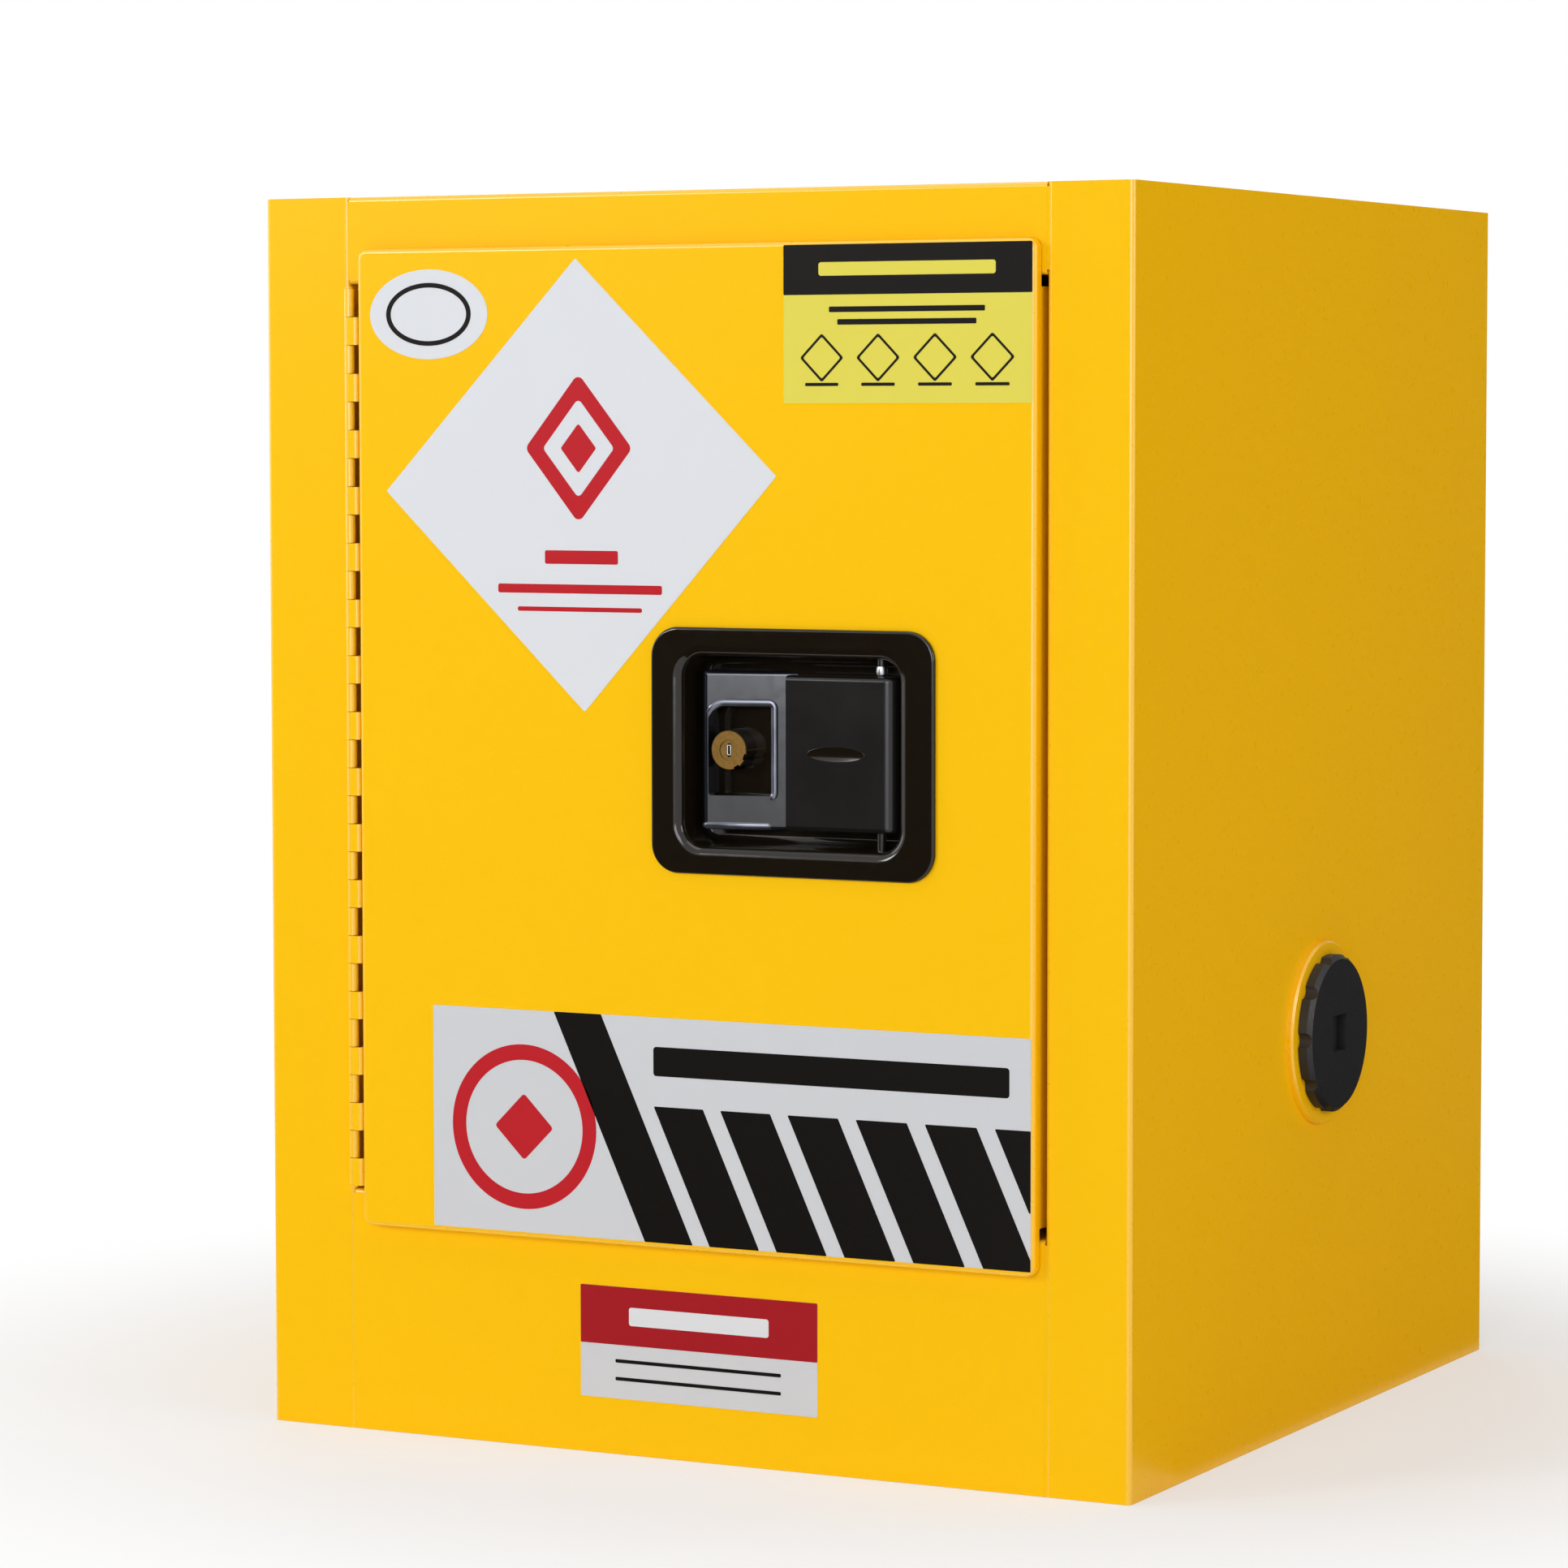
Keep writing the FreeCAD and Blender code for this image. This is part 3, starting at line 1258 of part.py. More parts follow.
def shelf_clips():
    """Four clips: a plate on the wall, a ledge under the shelf and a hook through a slot."""
    seat = shelf_height - shelf_edge
    slot_low = slot_first + clip_row() * slot_pitch
    tongue_z = (slot_low + clip_tongue_clearance, slot_low + slot_height - clip_tongue_clearance)
    plate_z = (min(seat - clip_height / 2, tongue_z[0] - 2), max(seat + clip_height / 2, tongue_z[1] + 2))
    clips = []
    for side in (-1, 1):
        face = inner_left if side < 0 else inner_right
        for y in (slot_front, liner_rear - slot_rear_inset):
            wide = (y - clip_width / 2, y + clip_width / 2)
            narrow = (y - slot_width / 2 + clip_tongue_clearance, y + slot_width / 2 - clip_tongue_clearance)
            plate = block(tuple(sorted((face, face - side * clip_sheet))), wide, plate_z)
            ledge = block(tuple(sorted((face, face - side * clip_ledge))), wide, (seat - clip_sheet, seat))
            outer = face + side * (sheet + clip_tongue_clearance + clip_sheet)
            tongue = block(tuple(sorted((face, outer))), narrow, tongue_z)
            drop_x = tuple(sorted((outer, outer - side * clip_sheet)))
            hook = block(drop_x, narrow, (tongue_z[0] - clip_hook, tongue_z[1]))
            clips.append(joined(plate, ledge, tongue, hook))
    return Part.makeCompound(clips)


# Vents
def turned(profile, side, height):
    """A body of revolution round the vent's axis. Its profile is (outward distance, radius)."""
    points = [Vector(side * u, v, 0) for u, v in profile]
    face = Part.Face(Part.makePolygon(points + [points[0]]))
    shape = face.revolve(Vector(), Vector(1, 0, 0), 360)
    shape.translate(Vector(0, vent_depth, height))
    return shape


def wall_span(side):
    """Distances of the vent's inner and outer wall faces from the middle of the cabinet."""
    inner = -inner_left if side < 0 else inner_right
    return inner, body_width / 2


def vent_sleeve(side):
    """Tube through both walls with an outer flange."""
    inner, outer = wall_span(side)
    profile = [
        (inner, vent_bore), (outer + vent_flange, vent_bore),
        (outer + vent_flange, vent_flange_radius - vent_flange_round),
        (outer + vent_flange - vent_flange_round, vent_flange_radius),
        (outer, vent_flange_radius), (outer, vent_tube), (inner, vent_tube),
    ]
    return turned(profile, side, vent_height(side))


def vent_inner_ring(side):
    """Ring that holds the sleeve from inside the cabinet."""
    inner = wall_span(side)[0]
    profile = [
        (inner - vent_ring, vent_bore), (inner, vent_bore),
        (inner, vent_ring_radius), (inner - vent_ring + 1, vent_ring_radius),
        (inner - vent_ring, vent_ring_radius - 1),
    ]
    return turned(profile, side, vent_height(side))


def flame_arrester(side):
    """Perforated disc across the sleeve."""
    inner = wall_span(side)[0] + mesh_inset
    span = tuple(sorted((side * inner, side * (inner + mesh_sheet))))
    plate = disc("x", (vent_depth, vent_height(side)), vent_bore, span)
    holes = [disc("x", (vent_depth, vent_height(side)), mesh_hole, (span[0] - 1, span[1] + 1))]
    for ring in range(1, mesh_rings + 1):
        for k in range(6 * ring):
            turn = 2 * math.pi * k / (6 * ring)
            at = (vent_depth + ring * mesh_pitch * math.cos(turn), vent_height(side) + ring * mesh_pitch * math.sin(turn))
            holes.append(disc("x", at, mesh_hole, (span[0] - 1, span[1] + 1)))
    return plate.cut(Part.makeCompound(holes))


def vent_cap_plug(side):
    """Screw-in cap with finger scallops and a square socket."""
    outer = wall_span(side)[1] + vent_flange
    face = outer + vent_cap_gap
    plug = vent_bore - vent_plug_clearance
    profile = [
        (outer - vent_plug_length, plug - vent_plug_wall), (face, plug - vent_plug_wall),
        (face, 0), (face + vent_cap, 0), (face + vent_cap, vent_cap_radius - 2),
        (face + vent_cap - 2, vent_cap_radius), (face, vent_cap_radius), (face, plug),
        (outer - vent_plug_length, plug),
    ]
    cap = turned(profile, side, vent_height(side))
    cuts = []
    span = tuple(sorted((side * (face - 1), side * (face + vent_cap + 1))))
    ring = vent_cap_radius + vent_scallop_out
    for k in range(vent_scallops):
        turn = 2 * math.pi * k / vent_scallops
        at = (vent_depth + ring * math.cos(turn), vent_height(side) + ring * math.sin(turn))
        cuts.append(disc("x", at, vent_scallop_radius, span))
    half = vent_socket / 2
    socket_x = tuple(sorted((side * (face + vent_cap - vent_socket_depth), side * (face + vent_cap + 1))))
    height = vent_height(side)
    cuts.append(block(socket_x, (vent_depth - half, vent_depth + half), (height - half, height + half)))
    return cap.cut(Part.makeCompound(cuts))


# Earthing stud
def earth_stud():
    span = (left - earth_proud, left + sheet + earth_inside)
    return disc("x", (earth_depth, earth_height), earth_radius, span)


def earth_stack():
    """Spans along X of the washers and nuts on the stud, from the wall outwards."""
    first_washer = (left - earth_washer, left)
    first_nut = (first_washer[0] - earth_nut_height, first_washer[0])
    second_washer = (first_nut[0] - earth_washer, first_nut[0])
    second_nut = (second_washer[0] - earth_nut_height, second_washer[0])
    inner_nut = (left + sheet, left + sheet + earth_nut_height)
    return [first_washer, second_washer], [first_nut, second_nut, inner_nut]


def earth_nuts():
    at = (earth_depth, earth_height)
    bore = disc("x", at, earth_radius, (left - earth_proud - 1, left + sheet + earth_inside + 1))
    return Part.makeCompound([hexagon("x", at, earth_nut, span).cut(bore) for span in earth_stack()[1]])


def earth_washers():
    at = (earth_depth, earth_height)
    bore = disc("x", at, earth_radius, (left - earth_proud - 1, left + 1))
    return Part.makeCompound([disc("x", at, earth_washer_radius, span).cut(bore) for span in earth_stack()[0]])


pieces = {
    "outer_side_left": outer_side(-1),
    "outer_side_right": outer_side(1),
    "outer_top": outer_top(),
    "outer_back": outer_back(),
    "outer_base": outer_base(),
    "front_sill": front_sill(),
    "liner_left": liner_side(-1),
    "liner_right": liner_side(1),
    "liner_back": liner_back(),
    "liner_top": liner_top(),
    "sump_pan": sump_pan(),
    "floor_channels": floor_channels(),
    "back_channels": back_channels(),
    "hinge_frame_leaf": rivet_holes(hinge_frame_leaf(), door_left + hinge_leaf, -1),
    "hinge_pin": hinge_pin(),
    "hinge_rivets_frame": rivet_row(door_left + hinge_leaf, -1),
    "strike_side": strike_side(),
    "strike_top": strike_end(1),
    "strike_bottom": strike_end(-1),
    "vent_sleeve_low": vent_sleeve(1),
    "vent_sleeve_high": vent_sleeve(-1),
    "flame_arrester_low": flame_arrester(1),
    "flame_arrester_high": flame_arrester(-1),
    "vent_ring_low": vent_inner_ring(1),
    "vent_ring_high": vent_inner_ring(-1),
    "vent_cap_low": vent_cap_plug(1),
    "vent_cap_high": vent_cap_plug(-1),
    "earth_stud": earth_stud(),
    "earth_nuts": earth_nuts(),
    "earth_washers": earth_washers(),
    "shelf": shelf(),
    "shelf_clips": shelf_clips(),
    "door_skin": door_skin(),
    "door_inner_pan": door_inner_pan(),
    "door_stiffener": door_stiffener(),
    "hinge_door_leaf": rivet_holes(hinge_door_leaf(), skin_left - hinge_leaf, 1),
    "hinge_rivets_door": rivet_row(skin_left - hinge_leaf, 1),
    "handle_dish": handle_dish(),
    "dish_gasket": dish_gasket_ring(),
    "dish_nuts": dish_nuts(),
    "finger_ramp": finger_ramp(),
    "paddle": paddle(),
    "paddle_pin": paddle_pin(),
    "paddle_spring": paddle_spring(),
    "latch_base": latch_base_plate(),
    "slide_rivets": slide_rivets(),
    "latch_slide": latch_slide(),
    "latch_bolt": latch_bolt(),
    "bolt_guide": bolt_guide(),
    "top_rod": rod(1),
    "bottom_rod": rod(-1),
    "rod_bracket_top": rod_bracket(1),
    "rod_bracket_bottom": rod_bracket(-1),
    "rod_bushes": rod_bushes(),
    "lock_cylinder": lock_cylinder(),
    "lock_nut": lock_ring_nut(),
    "key_plug": key_plug(),
    "lock_cam": lock_cam(),
}

for name, shape in pieces.items():
    shape.translate(Vector(0, -body_depth / 2, 0))
    shape.exportStep(os.path.join("parts", name + ".step"))
    print(name, "solids", len(shape.Solids), "valid", shape.isValid(), "volume", round(shape.Volume, 1))
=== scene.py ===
"""Looks of a small safety cabinet: paints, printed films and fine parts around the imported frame."""

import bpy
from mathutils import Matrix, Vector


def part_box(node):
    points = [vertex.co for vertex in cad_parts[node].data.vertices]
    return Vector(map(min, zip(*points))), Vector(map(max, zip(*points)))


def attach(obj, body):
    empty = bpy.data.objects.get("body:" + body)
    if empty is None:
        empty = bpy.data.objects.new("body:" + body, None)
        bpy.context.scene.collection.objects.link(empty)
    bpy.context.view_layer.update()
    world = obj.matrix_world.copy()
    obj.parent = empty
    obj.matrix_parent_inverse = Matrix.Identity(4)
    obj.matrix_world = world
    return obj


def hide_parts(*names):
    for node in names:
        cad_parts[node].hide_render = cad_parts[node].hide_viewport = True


bl_info = {
    "name": "Safety cabinet looks",
    "version": (1, 0, 0),
    "blender": (4, 5, 0),
    "location": "3D View > Sidebar > Cabinet",
    "description": "Dresses the packed safety cabinet with its finishes, films and stage",
    "category": "Object",
}

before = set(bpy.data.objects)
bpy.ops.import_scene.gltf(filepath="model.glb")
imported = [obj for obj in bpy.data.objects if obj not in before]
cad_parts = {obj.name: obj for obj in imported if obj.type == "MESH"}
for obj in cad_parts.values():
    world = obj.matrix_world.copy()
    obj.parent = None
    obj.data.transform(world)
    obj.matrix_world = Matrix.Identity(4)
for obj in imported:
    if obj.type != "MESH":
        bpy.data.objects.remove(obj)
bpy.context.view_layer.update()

import math

import bmesh
import bpy
import numpy as np
from bpy.props import FloatProperty, FloatVectorProperty, PointerProperty
from mathutils import Matrix, Vector

MM = 0.001
LOCK_LOW, LOCK_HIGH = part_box("lock_cylinder")
LOCK_CENTRE = (LOCK_LOW + LOCK_HIGH) / 2

# Sizes in millimetres
FRAME_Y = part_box("front_sill")[0].y / MM    # plane of the front frame
FRONTS = {"cabinet": FRAME_Y, "door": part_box("door_skin")[0].y / MM}    # planes that carry the films
HEADER_HEIGHT = 39.0            # from the cabinet's top down to the door
FOLD_RADIUS = 2.0               # outside of the stiles' folds
PLATE_GAP = 0.2                 # from a flat plate's end to the stile beside it
RAMP_SLOPE = 7.5 / 32.0         # the finger ramp sinks 7.5 mm over its width of 32 mm
WINDOW_X = (3.0, 31.0)          # the window's sides, from the ramp's left edge
WINDOW_HALF = 20.0              # half of the window's height
RING_SPACING = 0.6909           # rings of the turned brass, drawn coarse enough to show
MERGE_DISTANCE = 0.0005         # points nearer than this are one point
FLOOR_DROP = 0.2                # the floor lies this far under the cabinet

ALONG_AXIS = 0.9995             # cosine above which a face counts as square to an axis
WAVE_TURN = 20                  # radians that the wave texture turns in one unit of its scale


def linear(hex_text):
    """Linear colour with full alpha from an sRGB hex value."""
    parts = [int(hex_text[k:k + 2], 16) / 255 for k in (1, 3, 5)]
    low = [v / 12.92 if v <= 0.04045 else ((v + 0.055) / 1.055) ** 2.4 for v in parts]
    return (*low, 1.0)


# Values a user would change

class FinishSettings(bpy.types.PropertyGroup):
    """Colours and surface sizes of the paints, metals and films."""

    paint: FloatVectorProperty(
        name="Cabinet paint", description="Colour of the powder coat", subtype="COLOR", size=4,
        min=0.0, max=1.0, default=linear("#FDC400"))
    enamel: FloatVectorProperty(
        name="Handle enamel", description="Colour of the handle's gloss enamel", subtype="COLOR", size=4,
        min=0.0, max=1.0, default=linear("#1A140C"))
    film: FloatVectorProperty(
        name="Film", description="Colour of the blank film under the prints", subtype="COLOR", size=4,
        min=0.0, max=1.0, default=linear("#DDDFDF"))
    red_ink: FloatVectorProperty(
        name="Red ink", description="Colour of the red prints", subtype="COLOR", size=4,
        min=0.0, max=1.0, default=linear("#BE1F27"))
    black_ink: FloatVectorProperty(
        name="Black ink", description="Colour of the black prints", subtype="COLOR", size=4,
        min=0.0, max=1.0, default=linear("#0F0B07"))
    pale_ink: FloatVectorProperty(
        name="Pale yellow ink", description="Colour of the corner label's lower field", subtype="COLOR", size=4,
        min=0.0, max=1.0, default=linear("#E2D653"))
    peel: FloatProperty(
        name="Orange peel", description="Width of the waves in the powder coat", unit="LENGTH",
        default=2.4 * MM, min=0.2 * MM)
    film_thickness: FloatProperty(
        name="Film thickness", description="Thickness of every film", unit="LENGTH",
        default=0.22 * MM, min=0.05 * MM)
    ink_thickness: FloatProperty(
        name="Ink thickness", description="How far a print stands above its film", unit="LENGTH",
        default=0.06 * MM, min=0.02 * MM)


class StageSettings(bpy.types.PropertyGroup):
    """The floor, the lamps and the camera."""

    lens: FloatProperty(
        name="Lens", description="Focal length of the camera", unit="CAMERA", default=122.98, min=20.0)
    floor_size: FloatProperty(
        name="Floor", description="Width of the floor", unit="LENGTH", default=9.0, min=1.0)
    front_power: FloatProperty(
        name="Front lamp", description="Power of the large soft lamp in front", unit="POWER",
        default=33.0, min=0.0)
    right_power: FloatProperty(
        name="Right lamp", description="Power of the soft lamp on the right", unit="POWER",
        default=20.5, min=0.0)
    upper_power: FloatProperty(
        name="Upper left lamp", description="Power of the lamp whose sheen shows at the upper left",
        unit="POWER", default=26.5, min=0.0)
    side_power: FloatProperty(
        name="Side lamps", description="Power of the soft lamps left and behind", unit="POWER",
        default=15.0, min=0.0)
    top_power: FloatProperty(
        name="Top lamp", description="Power of the soft lamp overhead", unit="POWER", default=24.5, min=0.0)
    ambient: FloatProperty(
        name="Surroundings", description="Strength of the light from all around", default=0.26, min=0.0)


# Nodes and materials

def add(tree, kind, settings=None, values=None, links=None):
    """Adds a node. Settings are its properties, values its plain inputs, links its linked inputs."""
    made = tree.nodes.new(kind)
    for key, value in (settings or {}).items():
        setattr(made, key, value)
    for key, value in (values or {}).items():
        made.inputs[key].default_value = value
    for key, source in (links or {}).items():
        tree.links.new(source, made.inputs[key])
    return made


def new_material(name, values):
    """An empty material with one shader and its plain values; gives the tree, the shader and coordinates."""
    made = bpy.data.materials.new(name)
    made.use_nodes = True
    tree = made.node_tree
    tree.nodes.clear()
    place = add(tree, "ShaderNodeTexCoord").outputs["Object"]
    shader = add(tree, "ShaderNodeBsdfPrincipled", values=values)
    add(tree, "ShaderNodeOutputMaterial", links={"Surface": shader.outputs["BSDF"]})
    return made, tree, shader, place


def shade(rgba, factor):
    """The same colour, lighter or darker."""
    return (*(min(1.0, c * factor) for c in rgba[:3]), 1.0)


def mottle(tree, shader, place, rgba, size, spread):
    """Slow drift of a colour: a noise of the given size mixes a darker and a lighter tone."""
    noise = add(tree, "ShaderNodeTexNoise", values={"Scale": 1 / size, "Detail": 3.0}, links={"Vector": place})
    ramp = add(tree, "ShaderNodeMix", {"data_type": "RGBA"},
               {"A": shade(rgba, 1 - spread), "B": shade(rgba, 1 + spread)}, {"Factor": noise.outputs["Fac"]})
    tree.links.new(ramp.outputs["Result"], shader.inputs["Base Color"])
    return noise


def vary_roughness(tree, shader, source, low, high):
    """Roughness that follows a pattern between two limits."""
    limits = {"From Min": 0.3, "From Max": 0.7, "To Min": low, "To Max": high}
    span = add(tree, "ShaderNodeMapRange", values=limits, links={"Value": source})
    tree.links.new(span.outputs["Result"], shader.inputs["Roughness"])


def relief(tree, shader, source, height):
    """Small relief from a pattern, of the given height in metres."""
    bump = add(tree, "ShaderNodeBump", values={"Strength": 0.6, "Distance": height}, links={"Height": source})
    tree.links.new(bump.outputs["Normal"], shader.inputs["Normal"])


def satin_powder_coat(name, rgba, peel, ior=1.22):
    """Sprayed and baked polyester powder: even colour, soft sheen and the fine waves of orange peel."""
    made, tree, shader, place = new_material(name, {"IOR": ior, "Roughness": 0.3})
    mottle(tree, shader, place, rgba, 140 * MM, 0.012)
    waves = add(tree, "ShaderNodeTexNoise", values={"Scale": 1 / peel, "Detail": 2.0, "Roughness": 0.45},
                links={"Vector": place})
    vary_roughness(tree, shader, waves.outputs["Fac"], 0.27, 0.34)
    relief(tree, shader, waves.outputs["Fac"], 0.012 * MM)
    return made


def gloss_enamel(name, rgba, ior=1.5):
    """Stoved black enamel on pressed steel: near black, wet gloss, long shallow waves."""
    made, tree, shader, place = new_material(name, {"IOR": ior, "Roughness": 0.12})
    mottle(tree, shader, place, rgba, 60 * MM, 0.05)
    waves = add(tree, "ShaderNodeTexNoise", values={"Scale": 1 / (5 * MM), "Detail": 1.0},
                links={"Vector": place})
    vary_roughness(tree, shader, waves.outputs["Fac"], 0.10, 0.14)
    relief(tree, shader, waves.outputs["Fac"], 0.008 * MM)
    return made


def satin_enamel(name, rgba):
    """Black enamel sprayed on the paddle: less wet than on the dish, with a soft sheen from many hands."""
    made, tree, shader, place = new_material(name, {"IOR": 1.5, "Roughness": 0.24})
    wear_and_painted_highlight = mottle(tree, shader, place, rgba, 25 * MM, 0.06)
    vary_roughness(tree, shader, wear_and_painted_highlight.outputs["Fac"], 0.22, 0.26)
    grain = add(tree, "ShaderNodeTexNoise", values={"Scale": 1 / (1.6 * MM), "Detail": 2.0},
                links={"Vector": place})
    relief(tree, shader, grain.outputs["Fac"], 0.012 * MM)
    return made


def enamel_painted_highlight(name, rgba):
    """Grey metallic enamel that paints a bright highlight along an edge, with lighter and darker patches."""
    made, tree, shader, place = new_material(name, {"Metallic": 0.8, "Roughness": 0.2})
    wear_and_painted_highlight = mottle(tree, shader, place, rgba, 6 * MM, 0.2)
    vary_roughness(tree, shader, wear_and_painted_highlight.outputs["Fac"], 0.16, 0.26)
    return made


def hot_dip_zinc(name, rgba):
    """Galvanised sheet: grey metal with large crystals, each with its own tone."""
    made, tree, shader, place = new_material(name, {"Metallic": 1.0, "Roughness": 0.42})
    crystals = add(tree, "ShaderNodeTexVoronoi", values={"Scale": 1 / (9 * MM)}, links={"Vector": place})
    tone = add(tree, "ShaderNodeMix", {"data_type": "RGBA"}, {"A": shade(rgba, 0.93), "B": shade(rgba, 1.04)},
               {"Factor": crystals.outputs["Color"]})
    tree.links.new(tone.outputs["Result"], shader.inputs["Base Color"])
    vary_roughness(tree, shader, crystals.outputs["Color"], 0.38, 0.46)
    return made


def bright_zinc(name, rgba):
    """Zinc plated and passivated steel: clean grey metal with a faint drawn grain."""
    made, tree, shader, place = new_material(name, {"Metallic": 1.0, "Roughness": 0.3})
    stretched = add(tree, "ShaderNodeMapping", values={"Scale": (1.0, 1.0, 0.06)}, links={"Vector": place})
    grain = add(tree, "ShaderNodeTexNoise", values={"Scale": 1 / (0.5 * MM), "Detail": 2.0},
                links={"Vector": stretched.outputs["Vector"]})
    mottle(tree, shader, place, rgba, 12 * MM, 0.04)
    vary_roughness(tree, shader, grain.outputs["Fac"], 0.24, 0.36)
    relief(tree, shader, grain.outputs["Fac"], 0.004 * MM)
    return made


def turned_brass(name, rgba, centre):
    """Turned brass: warm metal with fine rings round the lock's axis, slightly dulled by handling."""
    made, tree, shader, place = new_material(name, {"Metallic": 1.0, "Roughness": 0.4})
    centred = add(tree, "ShaderNodeMapping", values={"Location": tuple(-c for c in centre)},
                  links={"Vector": place})
    rings = add(tree, "ShaderNodeTexWave", {"wave_type": "RINGS", "rings_direction": "Y"},
                {"Scale": 2 * math.pi / (WAVE_TURN * RING_SPACING * MM), "Distortion": 0.4},
                {"Vector": centred.outputs["Vector"]})
    mottle(tree, shader, place, rgba, 1.8 * MM, 0.35)
    vary_roughness(tree, shader, rings.outputs["Fac"], 0.36, 0.46)
    relief(tree, shader, rings.outputs["Fac"], 0.003 * MM)
    return made


def moulded_plastic(name, rgba):
    """Injection-moulded black polypropylene with a fine spark-eroded grain."""
    made, tree, shader, place = new_material(name, {"IOR": 1.49, "Roughness": 0.5})
    mottle(tree, shader, place, rgba, 20 * MM, 0.06)
    grain = add(tree, "ShaderNodeTexVoronoi", values={"Scale": 1 / (0.7 * MM)}, links={"Vector": place})
    vary_roughness(tree, shader, grain.outputs["Distance"], 0.44, 0.58)
    relief(tree, shader, grain.outputs["Distance"], 0.03 * MM)
    return made


def sealing_rubber(name, rgba):
    """Cut rubber sheet: dull, dark and a little dusty."""
    made, tree, shader, place = new_material(name, {"IOR": 1.52, "Roughness": 0.8})
    dust = mottle(tree, shader, place, rgba, 8 * MM, 0.2)
    vary_roughness(tree, shader, dust.outputs["Fac"], 0.72, 0.88)
    relief(tree, shader, dust.outputs["Fac"], 0.03 * MM)
    return made


def printed_film(name, rgba, roughness=0.36):
    """Self-adhesive vinyl or ink on it: even colour, faint screen mottling and a dull sheen."""
    made, tree, shader, place = new_material(name, {"IOR": 1.22, "Roughness": roughness})
    mottle(tree, shader, place, rgba, 30 * MM, 0.012)
    screen = add(tree, "ShaderNodeTexNoise", values={"Scale": 1 / (0.9 * MM), "Detail": 2.0},
                 links={"Vector": place})
    vary_roughness(tree, shader, screen.outputs["Fac"], roughness - 0.04, roughness + 0.05)
    relief(tree, shader, screen.outputs["Fac"], 0.004 * MM)
    return made


MATERIALS = {}


def material(name):
    """One of the cabinet's materials, made when first asked for."""
    if name not in MATERIALS:
        looks = bpy.context.scene.cabinet_finish
        makers = {
            "satin_powder_coat": lambda n: satin_powder_coat(n, looks.paint[:], looks.peel),
            "powder_coat_on_folds": lambda n: satin_powder_coat(n, looks.paint[:], looks.peel, 1.8),
            "powder_coat_on_top": lambda n: satin_powder_coat(n, looks.paint[:], looks.peel, 1.08),
            "gloss_enamel": lambda n: gloss_enamel(n, looks.enamel[:]),
            # black enamel with a blue tint that paints the cool reflection on the ramp and the window's edge
            "black_enamel_painted_blue_sheen": lambda n: gloss_enamel(n, linear("#12141B"), 1.7),
            "satin_enamel": lambda n: satin_enamel(n, linear("#161412")),
            # grey metallic enamel that paints bright highlights on the window's edge and the ramp's foot
            "enamel_painted_highlight": lambda n: enamel_painted_highlight(n, linear("#73757D")),
            "hot_dip_zinc": lambda n: hot_dip_zinc(n, linear("#A9ADB0")),
            "bright_zinc": lambda n: bright_zinc(n, linear("#C6C9CC")),
            "turned_brass": lambda n: turned_brass(n, linear("#93713A"), LOCK_CENTRE),
            # darker copy of the turned brass: painted shade on the lock's round flank
            "brass_painted_shade": lambda n: turned_brass(n, linear("#3A2E1C"), LOCK_CENTRE),
            "moulded_polypropylene": lambda n: moulded_plastic(n, linear("#17171A")),
            "sealing_rubber": lambda n: sealing_rubber(n, linear("#121212")),
            "blank_film": lambda n: printed_film(n, looks.film[:]),
            "grey_film": lambda n: printed_film(n, shade(looks.film[:], 0.86)),
            "red_ink": lambda n: printed_film(n, looks.red_ink[:]),
            "faded_red_ink": lambda n: printed_film(n, shade(looks.red_ink[:], 0.72)),
            "black_ink": lambda n: printed_film(n, looks.black_ink[:], 0.42),
            "pale_ink": lambda n: printed_film(n, looks.pale_ink[:]),
        }
        MATERIALS[name] = makers[name](name)
    return MATERIALS[name]


def face_values(mesh, key):
    """The directions or the middles of a mesh's faces, one row for each face."""
    values = np.empty(3 * len(mesh.polygons))
    mesh.polygons.foreach_get(key, values)
    return values.reshape(-1, 3)


def askew_faces(mesh):
    """One for each face whose direction lies along none of the three axes, else nought."""
    return (np.abs(face_values(mesh, "normal")).max(axis=1) < ALONG_AXIS).astype(np.int32)


def paint_nodes(names, finish, fold_finish=None):
    """Gives the CAD nodes of one kind their finish, and their folds a second one.

    A face belongs to a fold or a round edge when its direction lies along none of the three axes."""
    for name in names:
        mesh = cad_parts[name].data
        mesh.materials.clear()
        mesh.materials.append(material(finish))
        if fold_finish:
            mesh.materials.append(material(fold_finish))
            mesh.polygons.foreach_set("material_index", askew_faces(mesh))


# Surfaces

def grid_mesh(name, points, wrap_v=False):
    """Mesh from a grid of points, rows along v and columns along u, in millimetres.

    Each cell of the grid becomes one four-sided face. The last column joins the first one, and wrap_v joins
    the last row to the first one."""
    rows, columns = points.shape[:2]
    v, u = np.meshgrid(np.arange(rows if wrap_v else rows - 1), np.arange(columns), indexing="ij")
    up = (v + 1) % rows
    on = (u + 1) % columns
    faces = np.stack([v * columns + u, v * columns + on, up * columns + on, up * columns + u], axis=-1)
    mesh = bpy.data.meshes.new(name)
    mesh.from_pydata((points.reshape(-1, 3) * MM).tolist(), [], faces.reshape(-1, 4).tolist())
    mesh.validate()
    mesh.update()
    return mesh


def merge_close(mesh):
    """Joins points of a mesh that lie on one spot, such as the middle of a fan."""
    work = bmesh.new()
    work.from_mesh(mesh)
    bmesh.ops.remove_doubles(work, verts=work.verts, dist=MERGE_DISTANCE * MM)
    bmesh.ops.recalc_face_normals(work, faces=work.faces)
    work.to_mesh(mesh)
    work.free()
    mesh.update()


def surface(name, points, wrap_v=False, rounded=False):
    """Closed mesh from a grid of points: its poles are merged, and a round one is shaded smoothly."""
    mesh = grid_mesh(name, points, wrap_v)
    merge_close(mesh)
    if rounded:
        mesh.polygons.foreach_set("use_smooth", np.ones(len(mesh.polygons), bool))
    return mesh


